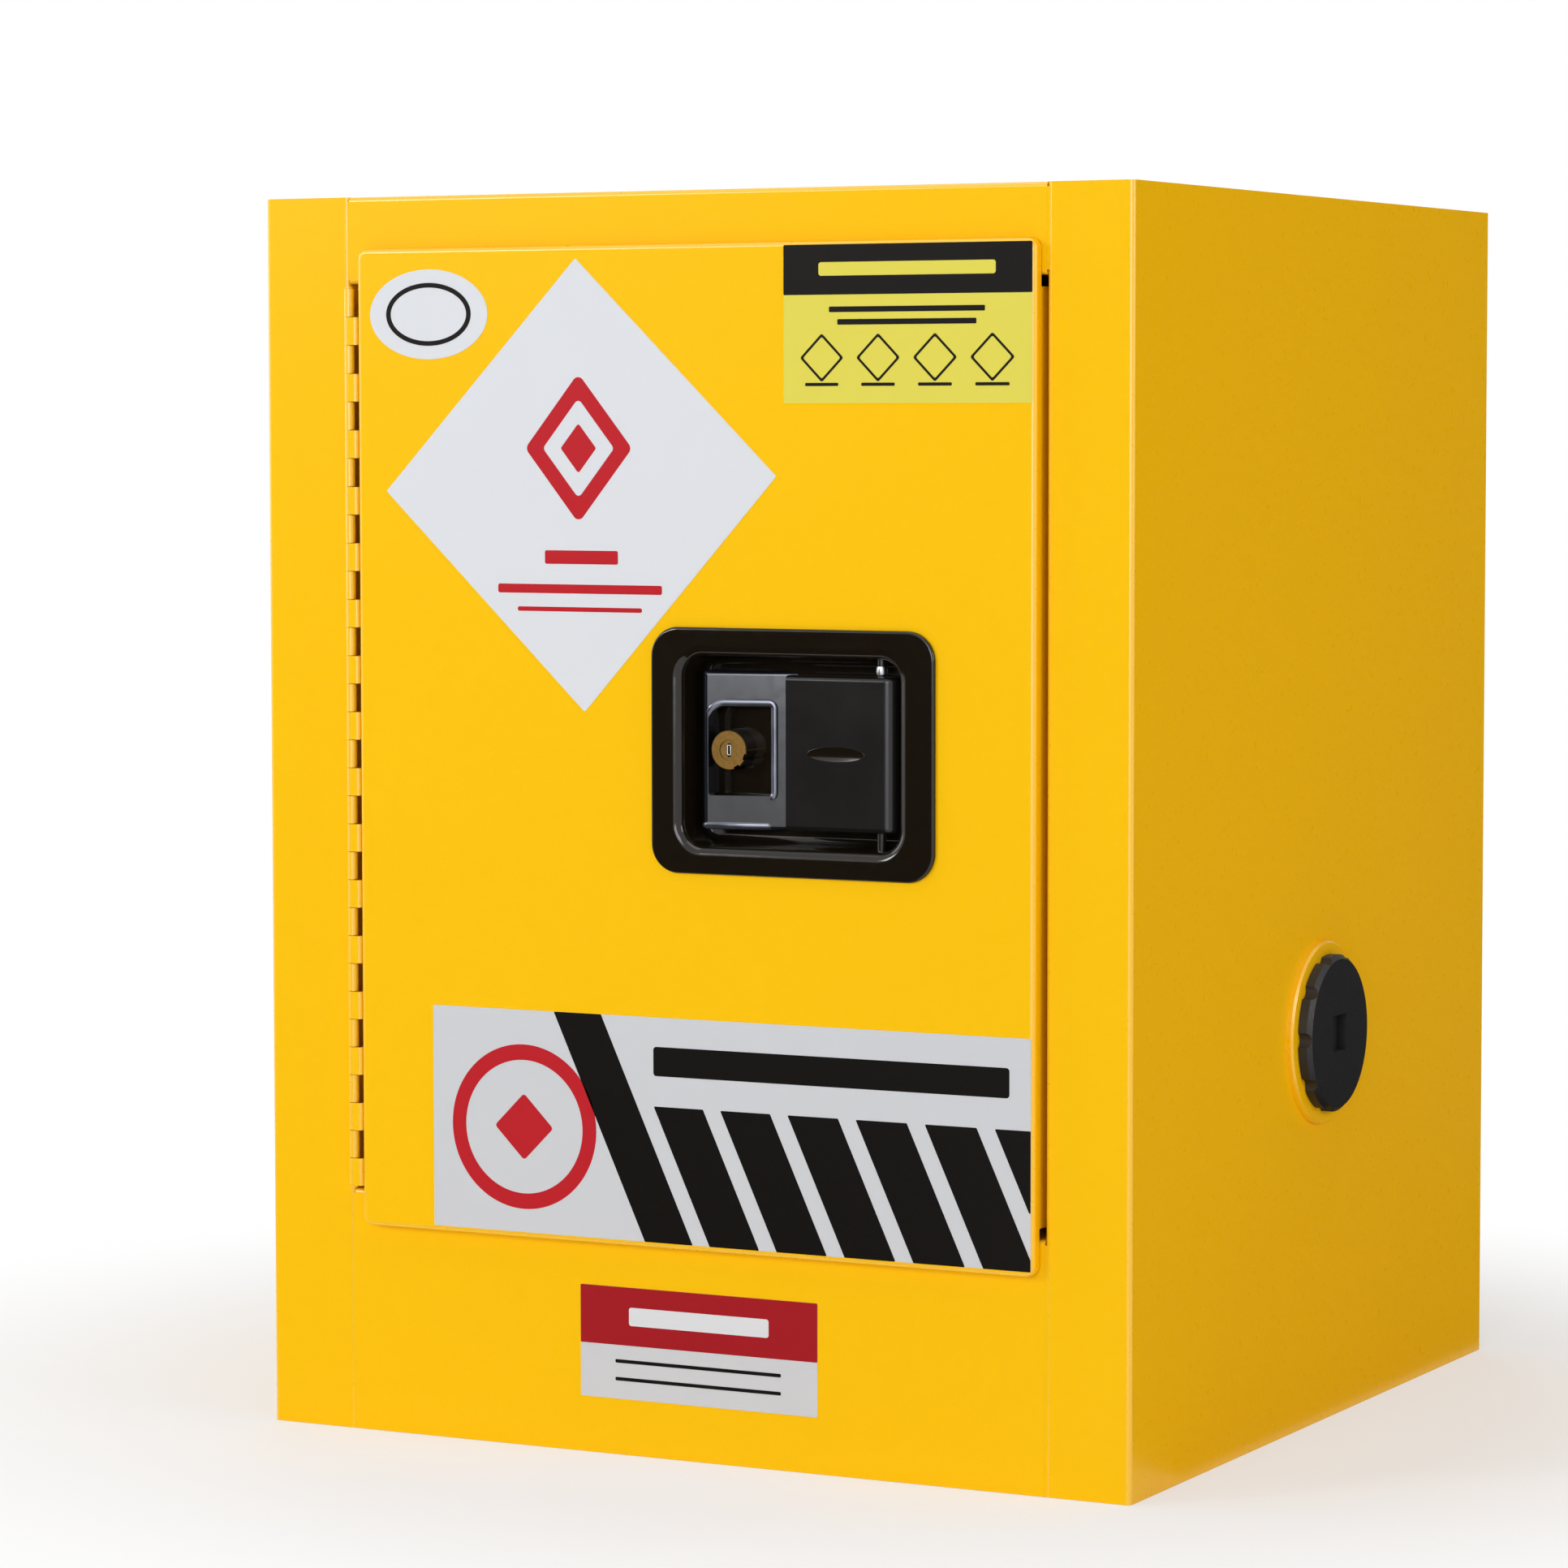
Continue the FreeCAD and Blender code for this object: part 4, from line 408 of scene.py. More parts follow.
def new_piece(mesh, body, finish, replaced=()):
    """Puts a finished mesh on its body, with its material, and hides the CAD nodes that it replaces."""
    piece = bpy.data.objects.new(mesh.name, mesh)
    bpy.context.scene.collection.objects.link(piece)
    mesh.materials.append(material(finish))
    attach(piece, body)
    if replaced:
        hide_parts(*replaced)
    return piece


def round_corners(corners, radius, steps=8):
    """Outline of a polygon with round corners, as an array of x and z.

    Each corner is an arc from the point one tangent length before it to the point one tangent length
    after it; the arc's angle runs evenly over the steps."""
    corners = np.asarray(corners, float)
    before = np.roll(corners, 1, axis=0) - corners
    after = np.roll(corners, -1, axis=0) - corners
    before /= np.linalg.norm(before, axis=1, keepdims=True)
    after /= np.linalg.norm(after, axis=1, keepdims=True)
    cosine = np.clip((before * after).sum(axis=1), -1, 1)
    half = np.arccos(cosine) / 2
    middle = before + after
    middle /= np.linalg.norm(middle, axis=1, keepdims=True)
    centre = corners + middle * (radius / np.sin(half))[:, None]
    start = corners + before * (radius / np.tan(half))[:, None]
    sweep = np.pi - 2 * half
    turn = np.sign(before[:, 1] * after[:, 0] - before[:, 0] * after[:, 1])
    angle = np.linspace(0, 1, steps)[None, :] * (turn * sweep)[:, None]
    arm = start - centre
    x = arm[:, 0, None] * np.cos(angle) - arm[:, 1, None] * np.sin(angle)
    z = arm[:, 0, None] * np.sin(angle) + arm[:, 1, None] * np.cos(angle)
    return np.stack([x, z], axis=-1).reshape(-1, 2) + np.repeat(centre, steps, axis=0)


def ellipse(centre, radii, steps=96):
    """Outline of an ellipse: centre plus each radius times cosine and sine of an even angle."""
    angle = np.linspace(0, 2 * np.pi, steps, endpoint=False)
    return np.stack([centre[0] + radii[0] * np.cos(angle), centre[1] + radii[1] * np.sin(angle)], axis=-1)


def facing(outline, y_back, thickness):
    """Film on a plane that faces the front: rings drawn in from the outline to its middle.

    A point is the middle plus a share of the way to the outline; its depth goes from the back plane to
    the front one over the first two rings, which gives a small rounded edge."""
    middle = outline.mean(axis=0)
    share = np.array([1.0, 1.0, 0.999, 0.66, 0.33, 0.0])
    depth = np.array([0.0, 0.7, 1.0, 1.0, 1.0, 1.0]) * thickness
    flat = middle + share[:, None, None] * (outline - middle)
    y = np.broadcast_to((y_back - depth)[:, None, None], flat.shape[:2] + (1,))
    return np.concatenate([flat[..., :1], y, flat[..., 1:]], axis=-1)


def frame_band(outer, inner, y_back, thickness):
    """Band between two outlines of equal count: a ring of four rows, down the outside and back."""
    low = np.full((len(outer), 1), y_back)
    high = low - thickness
    rows = [np.concatenate([line[:, :1], y, line[:, 1:]], axis=-1)
            for line, y in ((outer, low), (outer, high), (inner, high), (inner, low))]
    return np.stack(rows)


def tube(path, up, radii, around=16):
    """Closed tube round a closed path: each point of the path plus the two radii times cosine and sine of
    an even angle, along the path's side direction and one fixed direction up. The side is the run between
    a point's neighbours crossed with up. A radius may change along the path."""
    along = np.roll(path, -1, axis=0) - np.roll(path, 1, axis=0)
    side = np.cross(along, up)
    side /= np.linalg.norm(side, axis=1, keepdims=True)
    angle = np.linspace(0, 2 * np.pi, around, endpoint=False)
    wide, high = (np.broadcast_to(radius, len(path))[:, None, None] for radius in radii)
    across = wide * np.cos(angle)[None, :, None] * side[:, None, :]
    return path[:, None, :] + across + high * np.sin(angle)[None, :, None] * np.asarray(up)[None, None, :]


def bar(profile, low, high):
    """Closed upright bar: the outline in x and y at two heights, drawn in to its middle at both ends."""
    middle = profile.mean(axis=0)
    rows = []
    for share, z in ((0.0, low), (1.0, low), (1.0, high), (0.0, high)):
        flat = middle + share * (profile - middle)
        rows.append(np.concatenate([flat, np.full((len(flat), 1), z)], axis=-1))
    return np.stack(rows)


def layer(body, level):
    """Back plane and thickness of a film on a body, level 0, or of a print that many layers above it."""
    looks = bpy.context.scene.cabinet_finish
    film_mm = looks.film_thickness / MM
    ink_mm = looks.ink_thickness / MM
    if level == 0:
        return FRONTS[body], film_mm
    return FRONTS[body] - film_mm - (level - 1) * ink_mm, ink_mm


def film(name, outline, body, finish, level=0):
    """A film on the front, or a print one or more layers above it."""
    return new_piece(surface(name, facing(outline, *layer(body, level))), body, finish)


def print_band(name, outer, inner, body, finish):
    """A printed ring or frame between two outlines, on the film."""
    mesh = surface(name, frame_band(outer, inner, *layer(body, 1)), wrap_v=True)
    return new_piece(mesh, body, finish)


def rectangle(x, z, radius, steps=8):
    """Outline of an upright rectangle between two places in x and two in z, with round corners."""
    return round_corners([(x[0], z[0]), (x[1], z[0]), (x[1], z[1]), (x[0], z[1])], radius, steps)


def lozenge(centre, half_x, half_z, radius):
    """Outline of a lozenge with round corners: its centre less and plus half its width or half its height."""
    cx, cz = centre
    return round_corners([(cx - half_x, cz), (cx, cz - half_z), (cx + half_x, cz), (cx, cz + half_z)], radius)


# Operators

class PaintedSheet(bpy.types.Operator):
    """Powder coat on every folded panel of the body and the door"""
    bl_idname = "cabinet.painted_sheet"
    bl_label = "Painted sheet"

    def execute(self, context):
        paint_nodes(["outer_side_left", "outer_side_right", "outer_top", "outer_back", "outer_base",
                     "front_sill", "liner_left", "liner_right", "liner_back", "liner_top", "sump_pan",
                     "door_skin", "door_inner_pan", "hinge_frame_leaf", "hinge_door_leaf",
                     "hinge_rivets_frame", "hinge_rivets_door", "hinge_pin", "vent_sleeve_low",
                     "vent_sleeve_high", "vent_ring_low", "vent_ring_high"],
                    "satin_powder_coat", "powder_coat_on_folds")
        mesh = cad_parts["outer_top"].data
        mesh.materials.append(material("powder_coat_on_top"))
        upward = face_values(mesh, "normal")[:, 2] > ALONG_AXIS
        finish = np.where(upward, 2, askew_faces(mesh)).astype(np.int32)
        mesh.polygons.foreach_set("material_index", finish)
        return {"FINISHED"}


class InnerSteel(bpy.types.Operator):
    """Galvanised channels, shelf and clips"""
    bl_idname = "cabinet.inner_steel"
    bl_label = "Inner steel"

    def execute(self, context):
        paint_nodes(["floor_channels", "back_channels", "door_stiffener", "shelf", "shelf_clips"],
                    "hot_dip_zinc")
        return {"FINISHED"}


class HandleFinish(bpy.types.Operator):
    """Black enamel on the handle's dish, ramp and paddle, and the bright collar on the paddle's pin"""
    bl_idname = "cabinet.handle_finish"
    bl_label = "Handle"

    def execute(self, context):
        paint_nodes(["handle_dish", "paddle_pin"], "gloss_enamel")
        # the ramp's enamel has a blue tint that paints its cool reflection
        paint_nodes(["finger_ramp"], "black_enamel_painted_blue_sheen")
        paint_nodes(["paddle"], "satin_enamel")
        paint_nodes(["dish_gasket"], "sealing_rubber")
        pin_low, pin_high = (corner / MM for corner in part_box("paddle_pin"))
        clearance, radius, height = 0.6, 2.5, 4.2
        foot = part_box("paddle")[1].z / MM + clearance
        centre = ((pin_low.x + pin_high.x) / 2, (pin_low.y + pin_high.y) / 2)
        points = domed_collar(centre, (pin_high.x - pin_low.x) / 2, radius, foot, height)
        mesh = surface("pin_collar", points, wrap_v=True, rounded=True)
        new_piece(mesh, "door", "bright_zinc")
        return {"FINISHED"}


def domed_collar(centre, bore, radius, foot, height, grip=0.1):
    """Collar with a round outside on the paddle's pin: its section is the bore's straight line and half an
    ellipse, turned round the pin's axis. The bore is narrower than the pin by the grip."""
    lift = np.linspace(-np.pi / 2, np.pi / 2, 15)
    out = np.concatenate([[bore - grip], bore + grip + (radius - bore - grip) * np.cos(lift), [bore - grip]])
    up = foot + height / 2 * (1 + np.concatenate([[-1.0], np.sin(lift), [1.0]]))
    turn = np.linspace(0, 2 * np.pi, 40, endpoint=False)
    return np.stack([centre[0] + out[:, None] * np.cos(turn), centre[1] + out[:, None] * np.sin(turn),
                     np.broadcast_to(up[:, None], (len(up), len(turn)))], axis=-1)


class PaddleOval(bpy.types.Operator):
    """Dark hollow inlay in the paddle's oval"""
    bl_idname = "cabinet.paddle_oval"
    bl_label = "Paddle's oval"

    def execute(self, context):
        low, high = (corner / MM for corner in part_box("paddle"))
        left_of_middle = 2.2
        centre = ((low.x + high.x) / 2 - left_of_middle, (low.z + high.z) / 2)
        radii, depth = (14.0, 3.3), 0.5
        mesh = surface("paddle_oval", hollow_oval(centre, radii, low.y, depth), rounded=True)
        new_piece(mesh, "paddle", "gloss_enamel")
        return {"FINISHED"}


def hollow_oval(centre, radii, front, depth, edge=0.03):
    """Inlay in an oval recess: its back lies on the recess, and its face sinks from the edge to the middle
    by the depth, less the edge twice, times one less the square of the share of the radius."""
    share = np.array([0.0, 1.0, 1.0, 0.97, 0.9, 0.8, 0.65, 0.5, 0.35, 0.2, 0.0])
    sunk = edge + (depth - 2 * edge) * (1 - share ** 2)
    sunk[:2] = depth
    ring = ellipse((0.0, 0.0), radii, 72)
    x = centre[0] + share[:, None] * ring[None, :, 0]
    z = centre[1] + share[:, None] * ring[None, :, 1]
    return np.stack([x, np.broadcast_to((front + sunk)[:, None], x.shape), z], axis=-1)


class WindowBead(bpy.types.Operator):
    """Rolled edge of the lock's window in the finger ramp, with a painted highlight at its top and right"""
    bl_idname = "cabinet.window_bead"
    bl_label = "Window's edge"

    def execute(self, context):
        low, high = (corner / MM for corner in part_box("finger_ramp"))
        middle = (low.z + high.z) / 2
        x, z = (low.x + WINDOW_X[0], low.x + WINDOW_X[1]), (middle - WINDOW_HALF, middle + WINDOW_HALF)
        mesh = surface("window_bead", bead_round(low, x, z), wrap_v=True, rounded=True)
        # the bead's enamel has a blue tint that paints the ramp's cool reflection
        new_piece(mesh, "door", "black_enamel_painted_blue_sheen")
        mesh.materials.append(material("enamel_painted_highlight"))
        middles = face_values(mesh, "center") / MM
        # faces at the top and the right get the metallic enamel, which paints their highlight
        wear_and_painted_highlight = (middles[:, 2] > z[1] - 5.0) | (middles[:, 0] > x[1] - 1.0)
        mesh.polygons.foreach_set("material_index", wear_and_painted_highlight.astype(np.int32))
        return {"FINISHED"}


def bead_round(low, x, z):
    """Tube on the window's line, which lies on the sloping ramp. Both radii grow by 0.9 mm towards the top
    and the right: the growth runs evenly from nought to one over 5 mm of height and 2 mm of width."""
    line = window_line(x, z, 1.0)
    path = np.stack([line[:, 0], low.y + RAMP_SLOPE * (line[:, 0] - low.x) + 0.35, line[:, 1]], axis=-1)
    up = np.array([RAMP_SLOPE, -1.0, 0.0]) / math.hypot(RAMP_SLOPE, 1.0)
    top = np.clip((line[:, 1] - z[1] + 6.4) / 5.0, 0, 1)
    right = np.clip((line[:, 0] - x[1] + 2) / 2, 0, 1)
    growth = 0.9 * np.maximum(top, right)
    return tube(path, up, (1.0 + growth, 0.5 + growth))


def window_line(x, z, outside):
    """Line round the window, a little outside its edge: round corners of 7 mm at the upper left and 1.6 mm
    at the others, with straight runs divided evenly."""
    x0, x1, z0, z1 = x[0] - outside, x[1] + outside, z[0] - outside, z[1] + outside
    large, small = 7.0 + outside, 1.6 + outside
    corners = ((x0, z0, small, 180), (x1, z0, small, 270), (x1, z1, small, 0), (x0, z1, large, 90))
    points = []
    for cx, cz, radius, start in corners:
        angle = np.radians(np.linspace(start, start + 90, 13))
        inner_x = cx + radius if cx == x0 else cx - radius
        inner_z = cz + radius if cz == z0 else cz - radius
        points.append(np.stack([inner_x + radius * np.cos(angle), inner_z + radius * np.sin(angle)], axis=-1))
    return np.concatenate(points)


class RampRoll(bpy.types.Operator):
    """Rolled foot of the finger ramp, in grey metallic enamel that paints its highlight"""
    bl_idname = "cabinet.ramp_roll"
    bl_label = "Ramp's foot"

    def execute(self, context):
        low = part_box("finger_ramp")[0] / MM
        mesh = surface("ramp_roll", rolled_foot(low, low.x + 0.2, low.x + 31.5), rounded=True)
        # its grey metallic enamel paints the bright highlight along the ramp's foot
        new_piece(mesh, "door", "enamel_painted_highlight")
        return {"FINISHED"}


def rolled_foot(low, start, end):
    """Bar along the ramp's foot from start to end, which follows the ramp's slope: an ellipse of 1.9 by 2 mm
    about its middle, drawn in to the middle over the last 2.2 mm at both ends."""
    angle = np.linspace(0, 2 * np.pi, 20, endpoint=False)
    roll = np.stack([low.y + 0.9 + 1.9 * np.cos(angle), low.z + 2.05 + 2.0 * np.sin(angle)], axis=-1)
    share = np.array([0.0, 0.45, 0.75, 1.0, 1.0, 0.75, 0.45, 0.0])
    in_from_end = np.array([0.0, 0.1, 0.7, 2.2])
    x = np.concatenate([start + in_from_end, (end - in_from_end)[::-1]])
    flat = roll.mean(axis=0) + share[:, None, None] * (roll - roll.mean(axis=0))
    y = flat[..., 0] + RAMP_SLOPE * (x - low.x)[:, None]
    return np.stack([np.broadcast_to(x[:, None], y.shape), y, flat[..., 1]], axis=-1)


class LatchFinish(bpy.types.Operator):
    """Zinc plate on the latch, its rods, strikes, pins and nuts"""
    bl_idname = "cabinet.latch_finish"
    bl_label = "Latch"

    def execute(self, context):
        paint_nodes(["latch_base", "slide_rivets", "latch_slide", "latch_bolt", "bolt_guide", "top_rod",
                     "bottom_rod", "rod_bracket_top", "rod_bracket_bottom", "strike_side", "strike_top",
                     "strike_bottom", "dish_nuts", "paddle_spring", "lock_cam", "flame_arrester_low",
                     "flame_arrester_high", "earth_nuts", "earth_washers", "earth_stud"], "bright_zinc")
        paint_nodes(["rod_bushes", "vent_cap_low", "vent_cap_high"], "moulded_polypropylene")
        return {"FINISHED"}


class LockFinish(bpy.types.Operator):
    """Turned brass on the lock's cylinder, plug and nut, with darker brass as painted shade on their round
    sides, and round the keyhole a black plate of painted shade and a bright rim
    """
    bl_idname = "cabinet.lock_finish"
    bl_label = "Lock"

    def execute(self, context):
        # the round and slanted faces of the cylinder and nut get darker brass, as painted shade
        paint_nodes(["lock_cylinder", "lock_nut"], "turned_brass", "brass_painted_shade")
        paint_nodes(["key_plug"], "turned_brass")
        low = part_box("key_plug")[0] / MM
        centre = LOCK_CENTRE / MM
        place = np.array([centre.x, centre.z])
        slot = rectangle((-0.65, 0.65), (-1.9, 1.9), 0.5, 12)
        widened, proud, rim_radii = 1.12, 0.1, (0.3, 0.25)
        flat = place + widened * slot
        path = np.stack([flat[:, 0], np.full(len(flat), low.y - proud), flat[:, 1]], axis=-1)
        mesh = surface("keyhole_rim", tube(path, (0, -1, 0), rim_radii), wrap_v=True, rounded=True)
        new_piece(mesh, "key", "bright_zinc")
        # black enamel plate round the slot: painted shade of the keyhole's hollow
        plate_radius, thickness = 2.4, 0.12
        around = np.arctan2(slot[:, 1], slot[:, 0])
        outer = plate_radius * np.stack([np.cos(around), np.sin(around)], axis=-1)
        mesh = surface("keyhole_painted_shade", frame_band(outer + place, slot + place, low.y, thickness), wrap_v=True)
        new_piece(mesh, "key", "gloss_enamel")
        return {"FINISHED"}


class SeamFill(bpy.types.Operator):
    """Paint that closes the seams between the stiles, the header and the sill"""
    bl_idname = "cabinet.seam_fill"
    bl_label = "Seams"

    def execute(self, context):
        sill_low, sill_high = (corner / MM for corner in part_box("front_sill"))
        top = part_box("outer_top")[1].z / MM
        short = 2                               # a seam ends this far from a fold
        sill = (0.2, sill_high.z - short)
        header = (top - HEADER_HEIGHT + short, top - short)
        for name, x, outward, ends, depth in (
                ("seam_sill_left", sill_low.x, -1, sill, 0.08),
                ("seam_sill_right", sill_high.x, 1, sill, 0.08),
                ("seam_header_left", sill_low.x, -1, header, 0.3),
                ("seam_header_right", sill_high.x, 1, header, 0.08)):
            mesh = surface(name, bar(seam_profile(x, outward, depth), *ends))
            new_piece(mesh, "cabinet", "satin_powder_coat")
        return {"FINISHED"}


def seam_profile(x, outward, depth, lap=0.15, hollow=0.03):
    """Paint in a seam, seen from above: from inside the flat plate to where the stile's fold lies at the
    same depth. It laps over both, its face is hollow by a sine, and its back is in the sheet's thickness."""
    reach = PLATE_GAP + FOLD_RADIUS - math.sqrt(FOLD_RADIUS ** 2 - (FOLD_RADIUS - depth) ** 2)
    u = np.linspace(-lap, reach + lap, 7)
    face = depth + hollow * np.sin(np.pi * (u - u[0]) / (u[-1] - u[0]))
    front = np.stack([x + outward * u, FRAME_Y + face], axis=-1)
    back = np.stack([x + outward * u[::-1], np.full(7, FRAME_Y + 1.0)], axis=-1)
    return np.concatenate([front, back])


# The films' places are millimetres in the front's plane, x to the right of its middle and z above the floor.

class LozengePlate(bpy.types.Operator):
    """Large lozenge film on the door, with a plain red device and three bars"""
    bl_idname = "cabinet.lozenge_plate"
    bl_label = "Lozenge film"

    def execute(self, context):
        corners = [(-147.9, 428.2), (-46.1, 331.3), (49.4, 435.6), (-50.2, 530.9)]
        film("lozenge_film", round_corners(corners, 0.8), "door", "blank_film")
        centre = (-48.8, 447.5)
        outer = lozenge(centre, 27, 33, 3.0)
        inner = lozenge(centre, 18, 22, 2.0)
        print_band("lozenge_ring", outer, inner, "door", "red_ink")
        film("lozenge_core", lozenge(centre, 9, 11, 1.0), "door", "red_ink", 1)
        bars = [((-66, -29), (396.5, 402.5)), ((-90, -7), (383.5, 387.5)), ((-80, -17), (375.5, 377.5))]
        for number, (x, z) in enumerate(bars, 1):
            film(f"lozenge_bar_{number}", rectangle(x, z, 0.9), "door", "red_ink", 1)
        return {"FINISHED"}


class OvalPlate(bpy.types.Operator):
    """Plain oval film at the door's upper hinge corner"""
    bl_idname = "cabinet.oval_plate"
    bl_label = "Oval film"

    def execute(self, context):
        centre = (-125.5, 507.0)
        film("oval_film", ellipse(centre, (30.5, 20.0)), "door", "blank_film")
        outer, inner = ellipse(centre, (22.0, 14.0)), ellipse(centre, (19.6, 11.9))
        print_band("oval_ring", outer, inner, "door", "black_ink")
        return {"FINISHED"}


class CornerLabel(bpy.types.Operator):
    """Two-colour film at the door's upper latch corner, with rules and four small lozenges"""
    bl_idname = "cabinet.corner_label"
    bl_label = "Corner film"

    def execute(self, context):
        x, low, header_low, high = (53.0, 171.0), 467.0, 513.5, 535.0
        film("corner_film", rectangle(x, (low, high), 0.6), "door", "pale_ink")
        film("corner_header", rectangle(x, (header_low, high), 0.6), "door", "black_ink", 1)
        film("corner_header_bar", rectangle((70, 154), (521.6, 527.4), 1.2), "door", "pale_ink", 2)
        rules = [((75, 149), (506.0, 508.4)), ((79, 145), (500.6, 503.0))]
        for number, (rule_x, rule_z) in enumerate(rules, 1):
            film(f"corner_rule_{number}", rectangle(rule_x, rule_z, 0.5), "door", "black_ink", 1)
        for number, middle in enumerate((71.5, 98.5, 125.5, 152.5), 1):
            caption = rectangle((middle - 8, middle + 8), (474.4, 475.8), 0.5)
            film(f"corner_caption_{number}", caption, "door", "black_ink", 1)
            outer = lozenge((middle, 486.5), 10.5, 10.5, 1.0)
            inner = lozenge((middle, 486.5), 9.0, 9.0, 0.8)
            print_band(f"corner_mark_{number}", outer, inner, "door", "black_ink")
        return {"FINISHED"}


class StripedBand(bpy.types.Operator):
    """Wide film with slanting stripes, a bar and a ring at the door's foot"""
    bl_idname = "cabinet.striped_band"
    bl_label = "Striped film"

    def execute(self, context):
        x0, x1, z0, z1 = -125.0, 171.0, 97.5, 197.5
        film("band_film", rectangle((x0, x1), (z0, z1), 0.6), "door", "grey_film")
        film("band_bar", rectangle((-12.0, 161.0), (171.5, 184.5), 1.5), "door", "black_ink", 1)
        centre = (-78.0, 145.0)
        print_band("band_ring", ellipse(centre, (37, 37)), ellipse(centre, (30, 30)), "door", "red_ink")
        film("band_core", lozenge(centre, 15, 15, 1.5), "door", "red_ink", 1)
        lean = 0.46                             # how far a stripe leans to the left for its height
        first, pitch, stripe_top = -11.9, 33.2, 158.0
        slants = [(-62.5, 24.0, z1)] + [(first + pitch * k, 24.6, stripe_top) for k in range(6)]
        for number, (left, width, top) in enumerate(slants):
            bottom = left + lean * (top - z0)
            corners = [(bottom, z0), (bottom + width, z0), (left + width, top), (left, top)]
            stripe = round_corners(clip_right(corners, x1), 0.4)
            film(f"band_stripe_{number}", stripe, "door", "black_ink", 1)
        return {"FINISHED"}


def clip_right(corners, limit):
    """The part of a polygon left of an upright line: crossings are found along each edge."""
    kept = []
    for (ax, az), (bx, bz) in zip(corners, corners[1:] + corners[:1]):
        if ax <= limit:
            kept.append((ax, az))
        if (ax - limit) * (bx - limit) < 0:
            share = (limit - ax) / (bx - ax)
            kept.append((limit, az + share * (bz - az)))
    return kept


class SillLabel(bpy.types.Operator):
    """Two-colour film on the sill, with a bar and two rules"""
    bl_idname = "cabinet.sill_label"
    bl_label = "Sill film"

    def execute(self, context):
        x, low, header_low, high = (-52.7, 66.0), 25.0, 49.2, 75.3
        film("sill_film", rectangle(x, (low, high), 0.6), "cabinet", "grey_film")
        film("sill_header", rectangle(x, (header_low, high), 0.6), "cabinet", "faded_red_ink", 1)
        film("sill_bar", rectangle((-28, 42), (58.2, 66.4), 1.2), "cabinet", "blank_film", 2)
        for number, z in enumerate(((41.2, 42.8), (33.2, 34.8)), 1):
            film(f"sill_rule_{number}", rectangle((-35, 48), z, 0.5), "cabinet", "black_ink", 1)
        return {"FINISHED"}


class EarthThread(bpy.types.Operator):
    """Rolled thread of the earthing stud"""
    bl_idname = "cabinet.earth_thread"
    bl_label = "Earthing stud"

    def execute(self, context):
        low, high = (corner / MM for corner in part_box("earth_stud"))
        pitch, depth = 1.25, 0.6
        mesh = surface("earth_thread", threaded_rod(low, high, pitch, depth), rounded=True)
        new_piece(mesh, "cabinet", "bright_zinc", ["earth_stud"])
        return {"FINISHED"}


def threaded_rod(low, high, pitch, depth, around=36, along=14):
    """Rod along X with a thread: the radius drops below the full one by a triangle wave of the place
    along the rod less the turn, and both ends are chamfered and closed. Along is the points in one pitch."""
    radius = (high.z - low.z) / 2
    y = (low.y + high.y) / 2
    z = (low.z + high.z) / 2
    length = high.x - low.x
    rows = int(length / pitch * along)
    turn = np.linspace(0, 2 * np.pi, around, endpoint=False)
    v, u = np.meshgrid(np.linspace(0, 1, rows), turn, indexing="ij")
    phase = v * length / pitch - u / (2 * np.pi)
    wave = np.abs(2 * (phase - np.floor(phase)) - 1)
    near_end = np.minimum(v, 1 - v) * length
    reach = np.minimum(radius - depth * wave, radius - depth * 1.1 + near_end)
    reach[0] = 0.0
    reach[-1] = 0.0
    x = low.x + v * length
    x[1] = low.x
    x[-2] = high.x
    return np.stack([x, y + reach * np.cos(u), z + reach * np.sin(u)], axis=-1)


class Stage(bpy.types.Operator):
    """Pale floor, soft lamps, black cards, white surroundings and the camera"""
    bl_idname = "cabinet.stage"
    bl_label = "Stage"

    def execute(self, context):
        scene = context.scene
        stage = scene.cabinet_stage
        half, down = stage.floor_size / 2, -FLOOR_DROP * MM
        floor = flat_sheet("floor", [(-half, -half, down), (half, -half, down), (half, half, down),
                                     (-half, half, down)], studio_floor())

        front = (0.0, 0.0, 0.3)
        area_lamp("front_lamp", (0.5, -3.2, 0.96), front, (1.34, 1.5), stage.front_power, "#EFF2FF")
        area_lamp("right_lamp", (2.75, -0.35, 1.1), front, (1.0, 1.1), stage.right_power, "#FFF0E2")
        area_lamp("upper_left_lamp", (-2.0, -2.76, 1.28), front, (0.8, 0.8), stage.upper_power, "#FFFFFF")
        area_lamp("left_lamp", (-2.7, -0.5, 1.0), front, (1.6, 1.6), stage.side_power, "#FFFFFF")
        area_lamp("back_lamp", (-1.5, 2.7, 1.2), front, (1.8, 1.8), stage.side_power, "#FFFFFF")
        area_lamp("top_lamp", (0.0, -0.3, 3.0), (0.0, 0.0, 0.0), (2.4, 2.4), stage.top_power, "#FFFFFF")

        lying = 0.5 * MM
        black_card("card_front_left", [(-2.1, -2.44, 0.0), (-0.35, -2.44, 0.0), (-0.35, -2.44, 0.62),
                                       (-2.1, -2.44, 0.62)])
        black_card("card_floor_left", [(-2.1, -2.44, lying), (-0.35, -2.44, lying), (0.1, -0.3, lying),
                                       (-1.4, -0.3, lying)])
        black_card("card_floor_right", [(0.22, -0.15, lying), (1.95, 0.9, lying), (0.4, 1.5, lying),
                                        (0.22, 0.6, lying)])
        black_card("card_back_right", [(0.35, 1.5, 0.0), (2.0, 0.9, 0.0), (2.0, 0.9, 1.2), (0.35, 1.5, 1.2)])

        white_surroundings(scene, stage.ambient)
        photo_camera(scene, stage.lens)
        scene.view_settings.view_transform = "Standard"
        return {"FINISHED"}


